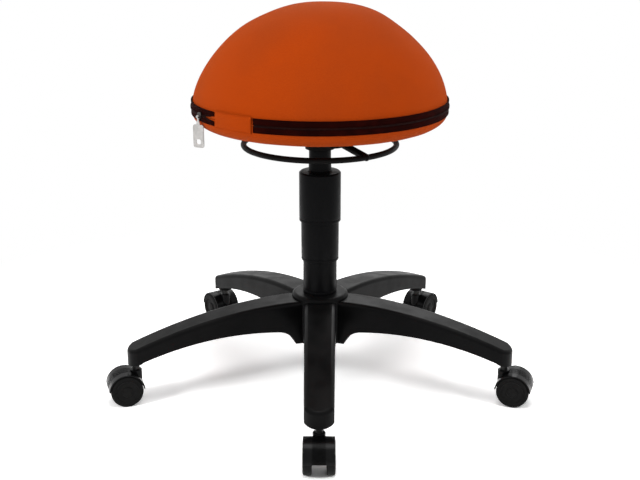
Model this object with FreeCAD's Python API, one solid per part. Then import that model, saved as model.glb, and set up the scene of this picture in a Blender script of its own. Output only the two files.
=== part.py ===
import FreeCAD, Part
import math
import os

# A wobble stool: a half-ball seat on a tilting rubber mount, a gas spring with a telescopic
# cover, a five-armed base and five twin-wheel castors.
# Millimetres, +Z up. The origin is on the floor, on the column's axis. One leg points along -Y.

Vector = FreeCAD.Vector

# ---- Fits and gaps
running_gap = 0.05          # radial gap of a shaft that turns or slides in its hole
piece_gap = 0.3             # between neighbours that don't touch
hole_slack = 0.2            # radial room of a screw or rod in a drilled hole

# ---- Castors
wheel_radius = 25.0
wheel_width = 12.5
wheel_tread_round = 3.0
wheel_dish_depth = 1.6
wheel_dish_radius = 16.5
web_width = 19.2            # housing's middle part, between the two wheels
web_side_gap = 0.4
web_foot_radius = 9.0       # of the web's boss round the axle
axle_radius = 4.0
castor_trail = 17.5
hood_gap = 0.8
hood_wall = 2.0
hood_set_in = 0.6           # hood's side, inside the wheel's outer face
hood_over_axle = 2.0        # lower edge of the hood, above the axle
stem_radius = 5.5
stem_shoulder_radius = 7.5
stem_shoulder_height = 2.5
stem_in_base = 24.0
stem_in_housing = 19.0
stem_bare_length = 9.0      # between the housing's boss and the base
stem_boss_radius = 9.0
boss_over_hood = 0.7

# ---- Base
leg_count = 5
first_leg_angle = -90.0
castor_circle_radius = 300.0
hub_radius = 45.0
hub_height = 77.0
hub_over_legs = 7.0
hub_edge_round = 6.0
hub_boss_wall = 5.0
hub_rim_wall = 4.5
hub_roof = 10.0
leg_drop = 50.0             # fall of the leg's top line from the hub to the castor circle
leg_drop_power = 1.9        # how late the top line falls
leg_depth_at_tip = 25.0
leg_arch_rise = 31.0        # highest part of the leg's underside, above the tip's
leg_arch_distance = 84.0    # of that part, from the hub's side
leg_half_width_at_hub = 25.8
leg_half_width_at_tip = 20.9
leg_tip_reach = 12.0        # past the stem's axis
leg_edge_round = 6.0
leg_wall = 4.0
leg_rib = 2.5
leg_pocket_count = 4
first_pocket_start = 25.5   # from the hub's side
haunch_length = 36.0        # deep root of a leg, from the hub's side
haunch_foot = 3.0
haunch_roof = 20.0          # top of the haunch's own solid, below the leg's top line
haunch_bulge_reach = 0.36   # point of the haunch's curve, as shares of its length and height
haunch_bulge_rise = 0.72
stem_socket_radius = 11.5
stem_socket_out = 4.5       # below the leg's tip

# ---- Column
stand_tube_radius = 25.0
stand_tube_wall = 2.0
stand_tube_length = 192.0
stand_tube_foot = 2.0       # below the hub
stand_tube_floor = 3.0
bush_length = 80.0
bush_flange = 2.0
cover_wall = 1.8
cover_side_gap = 1.1
cover_top_wall = 2.5
cover_top_chamfer = 2.5
lower_cover_length = 106.0
inner_cover_length = 97.0
outer_cover_length = 79.0
cover_overlap = 33.0        # of the two sliding stages
cover_neck_wall = 3.3       # of the outer cover's collar, round the gas spring
cover_neck_gap = 1.0        # between that collar and the spring socket's flange

# ---- Gas spring
spring_tube_radius = 14.0
spring_tube_wall = 1.5
spring_body_length = 219.5  # below the cone
spring_bare_length = 45.0   # between the outer cover's roof and the tilt mechanism
spring_sink_room = 80.0     # over the bump stop, at middle height
spring_rise_room = 54.0     # between the rod guide and the piston, at middle height
spring_guide_length = 20.0
rod_radius = 5.0
rod_journal_radius = 4.0
rod_journal_length = 17.0
piston_length = 14.0
piston_groove_half_width = 1.5
piston_groove_depth = 1.5
rod_thread_out = 3.0
race_thickness = 2.0
race_radius = 11.0
ball_radius = 1.95
ball_play = 0.1
ball_count = 9
ball_circle_radius = 7.6
bump_length = 11.0
bump_radius = 12.0
bump_edge_round = 2.5
clip_thickness = 1.5
clip_radius = 8.0
clip_groove_depth = 0.8
cone_reduction = 0.8        # of the radius, from the cone's root to its top
cone_length = 46.0
cone_plug_length = 12.0
release_pin_radius = 4.0
release_pin_out = 6.0
release_pin_in = 17.0

# ---- Tilt mechanism, fixed on the gas spring's cone
housing_radius = 38.0
housing_wall = 3.0
housing_floor = 4.0
housing_height = 58.0
socket_radius = 18.0
socket_height = 40.0
socket_flange_radius = 22.8
socket_flange_height = 9.0  # below the housing
lobe_reach = 58.0
lobe_half_width = 18.0
lobe_height = 10.0
lobe_rise = 2.0             # of the lobe's underside, above the housing's
lobe_floor = 2.0
lobe_corner = 10.8
lever_angle = -54.7         # direction of the lever's arm, seen from above
ear_thickness = 3.0
ear_inner_y = 9.3
ear_half_length = 5.5
pivot_reach = 22.0          # lever pivot, from the column's axis
pivot_below_nose = 6.5
pivot_radius = 2.5
pivot_pin_out = 1.0
lever_boss_radius = 5.2
lever_half_width = 8.0
lever_thickness = 3.5
lever_foot_thickness = 5.0
lever_floor_gap = 1.0
lever_upright_offset = 2.0  # upright's inner face, outboard of the pivot
lever_side_room = 1.5
lever_lift_room = 6.0
nose_half_width = 6.0
nose_thickness = 3.0
nose_overhang = 5.0
arm_radius = 5.4
ring_radius = 117.5
ring_rod_radius = 4.4
ring_drop = 1.6             # ring's middle, below the housing

# ---- Rubber mount and seat plate
rubber_thickness = 20.0
rubber_height = 24.0
rubber_set_down = 2.0       # below the housing's rim
rubber_edge_dish = 3.0
collar_wall = 3.0
collar_below_rubber = 7.3
collar_above_rubber = 3.7
seat_plate_radius = 92.0
seat_plate_thickness = 3.5
screw_count = 4
screw_circle_radius = 80.0
screw_radius = 3.0
screw_head_radius = 5.5
screw_head_height = 3.3
screw_head_round = 2.0
screw_key_radius = 1.8
screw_length = 14.0
insert_radius = 5.0
insert_length = 11.0

# ---- Seat
bowl_flat_radius = 155.0
bowl_depth = 23.5
rim_radius = 194.0
rim_straight = 8.0          # upright side, from the rounded underside to the rim's middle
dome_height = 153.0
dome_plan_power = 1.8       # fullness of the dome towards its rim
dome_rise_power = 1.8       # fullness of the dome towards its crown
cover_cloth = 2.2
board_thickness = 12.0
board_radius = 165.0
board_hole_room = 7.0       # round the seat plate's collar
foam_hollow_margin = 10.0   # foam's hollow, outside the board's hole
foam_hollow_room = 10.8     # over the seat plate's collar

# ---- Zip round the rim
tape_width = 20.5
tape_thickness = 1.2
tape_over_rim = 0.7         # tape's middle, above the rim's
coil_width = 4.0
coil_thickness = 1.0
tab_start_angle = -140.2    # the cloth tab that bridges the zip's ends
tab_end_angle = -118.0
tab_width = 26.0
tab_thickness = 1.8
tab_lap_angle = 0.8
slider_angle = -151.5
slider_length = 14.0
slider_width = 9.0
slider_thickness = 4.2
slider_edge_round = 1.9
pull_length = 45.0
pull_width = 18.0
pull_thickness = 1.4
pull_eye_wall = 1.0
pull_neck_length = 11.0
pull_neck_width = 6.2
pull_pin_radius = 1.3
pull_drop = 3.0             # pull's pin, below the zip's middle
pull_corner = 4.0
pull_twist = 35.0           # of the pull's plate against its neck

# ---- Places that follow from the sizes above, from the floor up
wheel_inner_y = web_width / 2 + web_side_gap
axle_half_length = wheel_inner_y + wheel_width - wheel_dish_depth
hood_inner_radius = wheel_radius + hood_gap
hood_radius = hood_inner_radius + hood_wall
stem_boss_top = wheel_radius + hood_radius + boss_over_hood
base_underside = stem_boss_top + stem_bare_length
leg_length = castor_circle_radius - hub_radius
leg_tip_bottom = base_underside + stem_socket_out
leg_top_at_hub = leg_tip_bottom + leg_depth_at_tip + leg_drop
hub_top = leg_top_at_hub + hub_over_legs
hub_bottom = hub_top - hub_height
stand_tube_bottom = hub_bottom - stand_tube_foot
stand_tube_top = stand_tube_bottom + stand_tube_length
bearing_bottom = stand_tube_bottom + stand_tube_floor
bearing_top = bearing_bottom + 2 * race_thickness + 2 * ball_radius + ball_play
bump_top = bearing_top + bump_length
spring_tube_bottom = bump_top + spring_sink_room
piston_bottom = spring_tube_bottom + spring_guide_length + spring_rise_room
piston_top = piston_bottom + piston_length
spring_bore = spring_tube_radius - spring_tube_wall
cone_root = spring_tube_bottom + spring_body_length
cone_top = cone_root + cone_length
outer_cover_top = cone_root - spring_bare_length
outer_cover_bottom = outer_cover_top - outer_cover_length
inner_cover_top = outer_cover_bottom + cover_overlap
inner_cover_bottom = inner_cover_top - inner_cover_length
lower_cover_radius = stand_tube_radius + cover_wall
inner_cover_bore = lower_cover_radius + cover_side_gap
inner_cover_radius = inner_cover_bore + cover_wall
outer_cover_bore = inner_cover_radius + cover_side_gap
outer_cover_radius = outer_cover_bore + cover_wall
cover_neck_radius = spring_tube_radius + piece_gap + cover_neck_wall
housing_bottom = cone_root
socket_flange_bottom = housing_bottom - socket_flange_height
cover_neck_top = socket_flange_bottom - cover_neck_gap
housing_top = housing_bottom + housing_height
nose_bottom = cone_top + release_pin_out + piece_gap
pivot_height = nose_bottom - pivot_below_nose
lever_foot_bottom = housing_bottom + housing_floor + lever_floor_gap
lever_foot_top = lever_foot_bottom + lever_foot_thickness
ring_height = housing_bottom - ring_drop
rubber_inner_radius = housing_radius
rubber_outer_radius = rubber_inner_radius + rubber_thickness
rubber_top = housing_top - rubber_set_down
rubber_bottom = rubber_top - rubber_height
plate_bottom = rubber_bottom - collar_below_rubber
plate_top = plate_bottom + seat_plate_thickness
collar_top = rubber_top + collar_above_rubber
collar_radius = rubber_outer_radius + collar_wall
seat_underside = plate_top + piece_gap
board_bottom = seat_underside + cover_cloth + piece_gap
board_top = board_bottom + board_thickness
board_hole_radius = collar_radius + board_hole_room
foam_inset = cover_cloth + piece_gap
rim_low = seat_underside + bowl_depth
rim_middle = rim_low + rim_straight
crown = rim_middle + dome_height
tape_middle = rim_middle + tape_over_rim
tape_radius = rim_radius + tape_thickness
coil_radius = tape_radius + coil_thickness
slider_radius = coil_radius + piece_gap
pull_pin_reach = slider_radius + slider_thickness - pull_pin_radius


# ---- Small helpers
def cylinder(radius, bottom, top, x=0.0, y=0.0):
    """An upright cylinder."""
    return Part.makeCylinder(radius, top - bottom, Vector(x, y, bottom))


def tube(radius, bore, bottom, top, x=0.0, y=0.0):
    """An upright tube."""
    return cylinder(radius, bottom, top, x, y).cut(cylinder(bore, bottom, top, x, y))


def bar(radius, x, z, half_length):
    """A round bar along Y."""
    return Part.makeCylinder(radius, 2 * half_length, Vector(x, -half_length, z), Vector(0, 1, 0))


def block(low, high):
    """A box between two corners."""
    size = Vector(*high) - Vector(*low)
    return Part.makeBox(size.x, size.y, size.z, Vector(*low))


def turned(shape, angle):
    """A copy turned about the column's axis."""
    copy = shape.copy()
    copy.rotate(Vector(0, 0, 0), Vector(0, 0, 1), angle)
    return copy


def moved(shape, x=0.0, y=0.0, z=0.0):
    """A copy moved along the axes."""
    copy = shape.copy()
    copy.translate(Vector(x, y, z))
    return copy


def all_round(shape, count, first_angle=0.0):
    """Copies of a shape, evenly spaced about the column's axis."""
    return [turned(shape, first_angle + 360.0 * i / count) for i in range(count)]


def polyline(points):
    """Straight edges through (radius, height) points."""
    corners = [Vector(r, 0, z) for r, z in points]
    return [Part.makeLine(a, b) for a, b in zip(corners, corners[1:])]


def smooth(points, start_tangent=None, end_tangent=None):
    """One smooth edge through (radius, height) points."""
    curve = Part.BSplineCurve()
    through = [Vector(r, 0, z) for r, z in points]
    if start_tangent:
        curve.interpolate(Points=through, InitialTangent=start_tangent, FinalTangent=end_tangent)
    else:
        curve.interpolate(through)
    return curve.toShape()


def spun(edges):
    """A closed solid of revolution about Z from a closed outline of edges."""
    face = Part.Face(Part.Wire(Part.__sortEdges__(edges)))
    return Part.makeSolid(face.revolve(Vector(0, 0, 0), Vector(0, 0, 1), 360))


def spun_points(points):
    """A solid of revolution from straight-sided (radius, height) points."""
    return spun(polyline(points + points[:1]))


def ring_sector(shape, start, end, reach, bottom, top):
    """The part of a shape between two angles about the column's axis."""
    start_way = Vector(math.cos(math.radians(start)), math.sin(math.radians(start)), 0)
    wedge = Part.Face(
        Part.makePolygon(
            [Vector(0, 0, bottom), start_way * reach + Vector(0, 0, bottom)]
            + [
                Vector(math.cos(a) * reach, math.sin(a) * reach, bottom)
                for a in (math.radians(start + (end - start) * i / 12) for i in range(1, 13))
            ]
            + [Vector(0, 0, bottom)]
        )
    ).extrude(Vector(0, 0, top - bottom))
    return shape.common(wedge)


# ---- The seat's outline
def dome_point(rise):
    """Radius and height on the dome, for a share of its height from 0 to 1."""
    radius = rim_radius * (1 - rise ** dome_rise_power) ** (1 / dome_plan_power)
    return radius, rim_middle + dome_height * rise


def dome_outline(inset, count=16):
    """Points of the dome from rim to crown, moved inwards by a distance."""
    points = [(rim_radius - inset, rim_middle)]
    for i in range(1, count):
        rise = math.sin(math.pi / 2 * i / count)
        r0, z0 = dome_point(rise - 0.001)
        r1, z1 = dome_point(rise + 0.001 if rise < 0.999 else 1.0)
        length = math.hypot(r1 - r0, z1 - z0)
        r, z = dome_point(rise)
        points.append((r - inset * (z1 - z0) / length, z + inset * (r1 - r0) / length))
    return points + [(0.0, crown - inset)]


def dome_edge(inset):
    """The dome as one smooth edge, upright at the rim and level at the crown."""
    return smooth(dome_outline(inset), Vector(0, 0, 1), Vector(-1, 0, 0))


def bowl_edge(inset):
    """The rounded edge of the underside: a quarter ellipse, moved inwards by a distance."""
    major = rim_radius - bowl_flat_radius - inset
    minor = bowl_depth - inset
    points = []
    for i in range(9):
        a = math.radians(90.0 * i / 8)
        points.append((bowl_flat_radius + major * math.sin(a), rim_low - minor * math.cos(a)))
    return smooth(points, Vector(1, 0, 0), Vector(0, 0, 1))


def seat_filling(inset):
    """Everything inside the covers, as one solid."""
    bottom = seat_underside + inset
    edges = [dome_edge(inset), bowl_edge(inset)]
    edges += polyline([(rim_radius - inset, rim_low), (rim_radius - inset, rim_middle)])
    edges += polyline([(0, crown - inset), (0, bottom), (bowl_flat_radius, bottom)])
    return spun(edges)


# ---- Seat pieces
def seat_cover():
    """Stretch cloth over the dome, down to the middle of the zip."""
    inner = rim_radius - cover_cloth
    edges = [dome_edge(0), dome_edge(cover_cloth)]
    edges += polyline([(rim_radius, rim_middle), (inner, rim_middle)])
    edges += polyline([(0, crown), (0, crown - cover_cloth)])
    return spun(edges)


def seat_cover_base():
    """The cloth under the rim, open in the middle for the tilt mechanism."""
    hem = board_hole_radius - 2 * hole_slack
    inside = rim_radius - cover_cloth
    cloth_top = rim_middle - piece_gap
    edges = [bowl_edge(0), bowl_edge(cover_cloth)]
    edges += polyline([(rim_radius, rim_low), (rim_radius, cloth_top)])
    edges += polyline([(rim_radius, cloth_top), (inside, cloth_top), (inside, rim_low)])
    edges += polyline(
        [
            (bowl_flat_radius, seat_underside),
            (hem, seat_underside),
            (hem, seat_underside + cover_cloth),
            (bowl_flat_radius, seat_underside + cover_cloth),
        ]
    )
    cloth = spun(edges)
    cloth_inner = seat_underside + cover_cloth
    for hole in screw_set(screw_radius + hole_slack, seat_underside - 1, cloth_inner + 1):
        cloth = cloth.cut(hole)
    return cloth


def screw_set(radius, bottom, top):
    """Upright cylinders at the seat screws' places, clear of the lever's arm."""
    one = cylinder(radius, bottom, top, screw_circle_radius)
    return all_round(one, screw_count, lever_angle + 180.0 / screw_count)


def seat_board():
    """Moulded plywood board that carries the foam."""
    board = tube(board_radius, board_hole_radius, board_bottom, board_top)
    board = board.common(seat_filling(foam_inset))
    for hole in screw_set(insert_radius, board_bottom - 1, board_bottom + insert_length):
        board = board.cut(hole)
    return board


def seat_foam():
    """Moulded foam half ball, wrapped round the board and hollow over the mechanism."""
    foam = seat_filling(foam_inset)
    foam = foam.cut(cylinder(board_radius + piece_gap, 0, board_top + piece_gap))
    hollow = cylinder(board_hole_radius + foam_hollow_margin, 0, collar_top + foam_hollow_room)
    return foam.cut(hollow)


def board_inserts():
    """Threaded inserts in the board."""
    inserts = screw_set(insert_radius, board_bottom, board_bottom + insert_length)
    holes = screw_set(screw_radius, board_bottom - 1, board_bottom + insert_length + 1)
    return Part.makeCompound([a.cut(b) for a, b in zip(inserts, holes)])


def seat_screws():
    """Button-head screws from below, through the seat plate into the inserts."""
    screws = []
    shanks = screw_set(screw_radius, plate_bottom, plate_bottom + screw_length)
    heads = screw_set(screw_head_radius, plate_bottom - screw_head_height, plate_bottom)
    keys = screw_set(screw_key_radius, plate_bottom - screw_head_height - 1, plate_bottom - 1)
    for shank, head, socket in zip(shanks, heads, keys):
        low_edge = min(head.Edges, key=lambda e: e.BoundBox.ZMax)
        rounded = head.makeFillet(screw_head_round, [low_edge])
        screws.append(shank.fuse(rounded).cut(socket))
    return Part.makeCompound(screws)


def seat_plate():
    """Steel plate under the seat, with the collar that the rubber is bonded to."""
    plate = cylinder(seat_plate_radius, plate_bottom, plate_top)
    plate = plate.fuse(cylinder(collar_radius, plate_bottom, collar_top))
    plate = plate.cut(cylinder(rubber_outer_radius, plate_bottom - 1, collar_top + 1))
    for hole in screw_set(screw_radius + hole_slack, plate_bottom - 1, plate_top + 1):
        plate = plate.cut(hole)
    return plate


# ---- Tilt mechanism
def rubber_mount():
    """Rubber ring bonded between the housing and the seat plate's collar."""
    low = rubber_bottom
    top = rubber_top
    inner = rubber_inner_radius + running_gap
    outer = rubber_outer_radius - running_gap
    middle = (inner + outer) / 2
    edges = [
        smooth([(inner, low), (middle, low + rubber_edge_dish), (outer, low)]),
        smooth([(inner, top), (middle, top - rubber_edge_dish), (outer, top)]),
    ]
    edges += polyline([(outer, low), (outer, top)])
    edges += polyline([(inner, top), (inner, low)])
    return spun(edges)


def swing_housing():
    """Steel cup round the spring socket, with the lobe that the lever's arm leaves by."""
    top = housing_top
    inside = housing_radius - housing_wall
    floor_top = housing_bottom + housing_floor
    cup = cylinder(housing_radius, housing_bottom, top)
    lobe_bottom = housing_bottom + lobe_rise
    lobe_top = housing_bottom + lobe_height
    lobe = block((0, -lobe_half_width, lobe_bottom), (lobe_reach, lobe_half_width, lobe_top))
    tip_edges = [e for e in lobe.Edges if is_upright(e) and e.BoundBox.XMin > lobe_reach - 1]
    cup = cup.fuse(lobe.makeFillet(lobe_corner, tip_edges))
    hollow = cylinder(inside, floor_top, top + 1)
    channel_side = lobe_half_width - housing_wall
    channel_floor = lobe_bottom + lobe_floor
    channel = block((housing_radius, -channel_side, channel_floor), (lobe_reach + 1, channel_side, top))
    slot_side = lever_half_width + lever_side_room
    slot_top = lever_foot_top + lever_lift_room
    slot = block((0, -slot_side, floor_top), (lobe_reach, slot_side, slot_top))
    cup = cup.cut(hollow).cut(channel).cut(slot)
    ear_outer_y = ear_inner_y + ear_thickness
    ear_low_x = pivot_reach - ear_half_length
    ear_high_x = pivot_reach + ear_half_length
    ear_top = pivot_height + ear_half_length
    for side in (-1, 1):
        ear = block((ear_low_x, ear_inner_y, housing_bottom), (ear_high_x, ear_outer_y, ear_top))
        cup = cup.fuse(ear if side > 0 else ear.mirror(Vector(0, 0, 0), Vector(0, 1, 0)))
    cup = cup.cut(bar(pivot_radius, pivot_reach, pivot_height, ear_outer_y + 1))
    cup = cup.cut(cylinder(socket_radius, housing_bottom - 1, top + 1))
    return turned(cup.removeSplitter(), lever_angle)


def is_upright(edge):
    """True for a straight edge along Z."""
    box = edge.BoundBox
    return box.XLength < 1e-6 and box.YLength < 1e-6


def spring_socket():
    """Conical socket that the gas spring's cone is pressed into, with a flange under the housing."""
    socket = cylinder(socket_radius, housing_bottom, housing_bottom + socket_height)
    socket = socket.fuse(cylinder(socket_flange_radius, socket_flange_bottom, housing_bottom))
    entry = spring_tube_radius + piece_gap
    return socket.cut(spring_cone()).cut(cylinder(entry, socket_flange_bottom - 1, housing_bottom))


def spring_cone():
    """The tapered top of the gas spring."""
    return Part.makeCone(
        spring_tube_radius, spring_tube_radius - cone_reduction, cone_length, Vector(0, 0, cone_root)
    )


def lever_pivot_pin():
    """Pin that the release lever turns on."""
    half_length = ear_inner_y + ear_thickness + pivot_pin_out
    return turned(bar(pivot_radius, pivot_reach, pivot_height, half_length), lever_angle)


def release_lever():
    """Bent lever: a nose over the release pin, an upright and a foot that carries the arm."""
    nose_top = nose_bottom + nose_thickness
    upright_in = pivot_reach + lever_upright_offset
    upright_out = upright_in + lever_thickness
    lever = block(
        (-nose_overhang, -nose_half_width, nose_bottom),
        (upright_out, nose_half_width, nose_top),
    )
    lever = lever.fuse(
        block(
            (upright_in, -lever_half_width, lever_foot_bottom),
            (upright_out, lever_half_width, nose_top),
        )
    )
    lever = lever.fuse(
        block(
            (upright_in, -lever_half_width, lever_foot_bottom),
            (lobe_reach, lever_half_width, lever_foot_top),
        )
    )
    lever = lever.fuse(bar(lever_boss_radius, pivot_reach, pivot_height, lever_half_width))
    lever = lever.cut(bar(pivot_radius + running_gap, pivot_reach, pivot_height, lever_half_width + 1))
    return turned(lever.removeSplitter(), lever_angle)


def release_ring():
    """Round wire ring that can be pulled up from any side, on its bent arm."""
    ring = Part.makeTorus(ring_radius, ring_rod_radius, Vector(0, 0, ring_height))
    start = Vector(lobe_reach, 0, lever_foot_bottom + lever_foot_thickness / 2)
    end = Vector(ring_radius, 0, ring_height)
    way = end - start
    arm = Part.makeCylinder(arm_radius, way.Length, start, way)
    arm = arm.fuse(Part.makeSphere(arm_radius, end))
    toe = Part.makeCylinder(lever_foot_thickness / 2, arm_radius, start, Vector(1, 0, 0))
    arm = arm.fuse(toe)
    arm_end = ring_radius + arm_radius
    arm = arm.common(block((lobe_reach, -arm_radius, 0), (arm_end, arm_radius, housing_top)))
    return ring.fuse(turned(arm, lever_angle))


# ---- Gas spring
def pressure_tube():
    """Cylinder of the gas spring, with the cone that carries the seat."""
    body = cylinder(spring_tube_radius, spring_tube_bottom, cone_root).fuse(spring_cone())
    plug_bottom = cone_top - cone_plug_length
    body = body.cut(cylinder(spring_bore, spring_tube_bottom - 1, plug_bottom))
    return body.cut(cylinder(release_pin_radius + running_gap, plug_bottom - 1, cone_top + 1))


def rod_guide():
    """Guide and seal pack that closes the pressure tube round the rod."""
    top = spring_tube_bottom + spring_guide_length
    return tube(spring_bore, rod_radius + running_gap, spring_tube_bottom, top)


def release_pin():
    """Pin in the cone's top that opens the gas spring's valve."""
    return cylinder(release_pin_radius, cone_top - release_pin_in, cone_top + release_pin_out)


def piston_rod():
    """Rod that stands on the thrust bearing in the foot of the stand tube."""
    rod = cylinder(rod_journal_radius, bearing_top - rod_journal_length, bearing_top)
    rod = rod.fuse(cylinder(rod_radius, bearing_top, piston_top + rod_thread_out))
    groove_top = stand_tube_bottom - ball_play
    groove_bore = rod_journal_radius - clip_groove_depth
    return rod.cut(tube(rod_journal_radius + 1, groove_bore, groove_top - clip_thickness, groove_top))


def rod_clip():
    """Clip in the rod's groove, under the stand tube's floor."""
    top = stand_tube_bottom - ball_play
    return tube(clip_radius, rod_journal_radius - clip_groove_depth, top - clip_thickness, top)


def piston():
    """Piston with its seal land and groove."""
    body = tube(spring_bore - running_gap, rod_radius, piston_bottom, piston_top)
    groove_low = (piston_bottom + piston_top) / 2 - piston_groove_half_width
    groove_high = groove_low + 2 * piston_groove_half_width
    return body.cut(tube(spring_bore + 1, spring_bore - piston_groove_depth, groove_low, groove_high))


def lower_race():
    bore = rod_journal_radius + hole_slack
    return tube(race_radius, bore, bearing_bottom, bearing_bottom + race_thickness)


def bearing_balls():
    height = bearing_bottom + race_thickness + ball_radius
    ball = Part.makeSphere(ball_radius, Vector(ball_circle_radius, 0, height))
    return Part.makeCompound(all_round(ball, ball_count))


def upper_race():
    return tube(race_radius, rod_journal_radius, bearing_top - race_thickness, bearing_top)


def bump_stop():
    """Rubber ring that the pressure tube lands on at the bottom of its stroke."""
    stop = tube(bump_radius, rod_radius, bearing_top, bump_top)
    edges = [e for e in stop.Edges if e.BoundBox.ZMin > bump_top - 0.01]
    outer = max(edges, key=lambda e: e.BoundBox.XMax)
    return stop.makeFillet(bump_edge_round, [outer])


# ---- Column
def stand_tube():
    """Steel stand tube, pressed into the base, with a closed foot."""
    bore = stand_tube_radius - stand_tube_wall
    body = cylinder(stand_tube_radius, stand_tube_bottom, stand_tube_top)
    body = body.cut(cylinder(bore, stand_tube_bottom + stand_tube_floor, stand_tube_top + 1))
    return body.cut(cylinder(rod_journal_radius + hole_slack, stand_tube_bottom - 1, stand_tube_top))


def guide_bush():
    """Plastic bush that the pressure tube turns and slides in."""
    bore = spring_tube_radius + running_gap
    sleeve = tube(stand_tube_radius - stand_tube_wall, bore, stand_tube_top - bush_length, stand_tube_top)
    return sleeve.fuse(tube(stand_tube_radius, bore, stand_tube_top, stand_tube_top + bush_flange))


def cover_outer():
    """Upper stage of the telescopic cover, with a slim collar up round the gas spring."""
    skirt_top = outer_cover_top - cover_top_wall
    neck_bore = spring_tube_radius + piece_gap
    return spun_points(
        [
            (spring_tube_radius, outer_cover_top),
            (neck_bore, outer_cover_top),
            (neck_bore, cover_neck_top),
            (cover_neck_radius, cover_neck_top),
            (cover_neck_radius, outer_cover_top),
            (outer_cover_radius - cover_top_chamfer, outer_cover_top),
            (outer_cover_radius, outer_cover_top - cover_top_chamfer),
            (outer_cover_radius, outer_cover_bottom),
            (outer_cover_bore, outer_cover_bottom),
            (outer_cover_bore, skirt_top),
            (spring_tube_radius, skirt_top),
        ]
    )


def cover_inner():
    """Middle stage of the telescopic cover, which follows at half the seat's travel."""
    return tube(inner_cover_radius, inner_cover_bore, inner_cover_bottom, inner_cover_top)


def cover_lower():
    """Fixed stage of the telescopic cover, pressed over the stand tube down to the hub."""
    return tube(lower_cover_radius, stand_tube_radius, hub_top, hub_top + lower_cover_length)


# ---- Base
def leg_top(share):
    """Height of the leg's top line, from the hub (0) to the castor circle (1)."""
    return leg_top_at_hub - leg_drop * abs(share) ** leg_drop_power


def leg_bottom(share):
    """Height of the leg's underside, a low arch between the hub and the tip."""
    middle = leg_arch_distance / leg_length
    return leg_tip_bottom + leg_arch_rise * (1 - ((share - middle) / (1 - middle)) ** 2)


def leg_radius(share):
    return hub_radius + leg_length * share


def leg_half_width(share):
    return leg_half_width_at_hub + (leg_half_width_at_tip - leg_half_width_at_hub) * share


def leg_side(top_inset, bottom_inset, low_share, high_share):
    """Side outline of a leg between two shares of its length, as an upright slab."""
    steps = 6
    shares = [low_share + (high_share - low_share) * i / steps for i in range(steps + 1)]
    upper = [(leg_radius(s), leg_top(s) - top_inset) for s in shares]
    lower = [(leg_radius(s), leg_bottom(s) + bottom_inset) for s in shares]
    edges = [smooth(upper), smooth(lower)]
    edges += polyline([upper[0], lower[0]])
    edges += polyline([upper[-1], lower[-1]])
    width = leg_half_width_at_hub + leg_half_width_at_tip
    face = Part.Face(Part.Wire(Part.__sortEdges__(edges)))
    return moved(face.extrude(Vector(0, 2 * width, 0)), y=-width)


def leg_plan(inset, reach):
    """Plan outline of a leg as a tall slab, round at its tip."""
    near = leg_half_width_at_hub - inset
    far = leg_half_width_at_tip - inset
    end = castor_circle_radius
    corners = [Vector(end, far, 0), Vector(0, near, 0), Vector(0, -near, 0), Vector(end, -far, 0)]
    edges = [Part.makeLine(a, b) for a, b in zip(corners, corners[1:])]
    edges.append(Part.Arc(corners[3], Vector(end + reach, 0, 0), corners[0]).toShape())
    face = Part.Face(Part.Wire(Part.__sortEdges__(edges)))
    return face.extrude(Vector(0, 0, hub_top))


def haunch():
    """Deep root of a leg, which runs down into the hub's skirt."""
    share = haunch_length / leg_length
    foot = (hub_radius + haunch_foot, hub_bottom)
    knee = (leg_radius(share), leg_bottom(share))
    middle_radius = foot[0] + (knee[0] - foot[0]) * haunch_bulge_reach
    middle_height = foot[1] + (knee[1] - foot[1]) * haunch_bulge_rise
    edges = [smooth([foot, (middle_radius, middle_height), knee])]
    roof = leg_top_at_hub - haunch_roof
    edges += polyline([knee, (knee[0], roof), (0, roof), (0, hub_bottom), foot])
    face = Part.Face(Part.Wire(Part.__sortEdges__(edges)))
    width = leg_half_width_at_hub * 2
    slab = moved(face.extrude(Vector(0, 2 * width, 0)), y=-width)
    return slab.common(leg_plan(0.0, leg_tip_reach))


def one_leg():
    """A hollow moulded leg along +X, open below, with cross ribs and a stem socket."""
    tip_share = 1.0 + (leg_tip_reach + 2.0) / leg_length
    leg = leg_side(0.0, 0.0, -0.12, tip_share).common(leg_plan(0.0, leg_tip_reach))
    crest = [e for e in leg.Edges if is_crest(e)]
    leg = leg.makeFillet(leg_edge_round, crest)
    leg = leg.fuse(haunch())
    socket_top = leg_tip_bottom + leg_wall
    leg = leg.fuse(cylinder(stem_socket_radius, base_underside, socket_top, castor_circle_radius))
    for pocket in leg_pockets():
        leg = leg.cut(pocket)
    return leg


def is_crest(edge):
    """True for the edges round a leg's top face, apart from the one inside the hub."""
    box = edge.BoundBox
    if box.YLength > leg_half_width_at_hub * 1.5 and box.XLength < 1e-6:
        return False
    middle = edge.valueAt((edge.FirstParameter + edge.LastParameter) / 2)
    share = (middle.x - hub_radius) / leg_length
    return abs(middle.z - leg_top(share)) < 0.5


def leg_pockets():
    """Hollows under a leg, with a cross rib left between each two."""
    start = first_pocket_start / leg_length
    end = 1.0 - (stem_socket_radius + leg_wall) / leg_length
    rib_share = leg_rib / leg_length
    pitch = (end - start) / leg_pocket_count
    plan = leg_plan(leg_wall, 1.0)
    pockets = []
    for i in range(leg_pocket_count):
        low = start + pitch * i
        pocket = leg_side(leg_wall, -hub_bottom, low, low + pitch - rib_share)
        pockets.append(pocket.common(plan))
    return pockets


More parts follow.
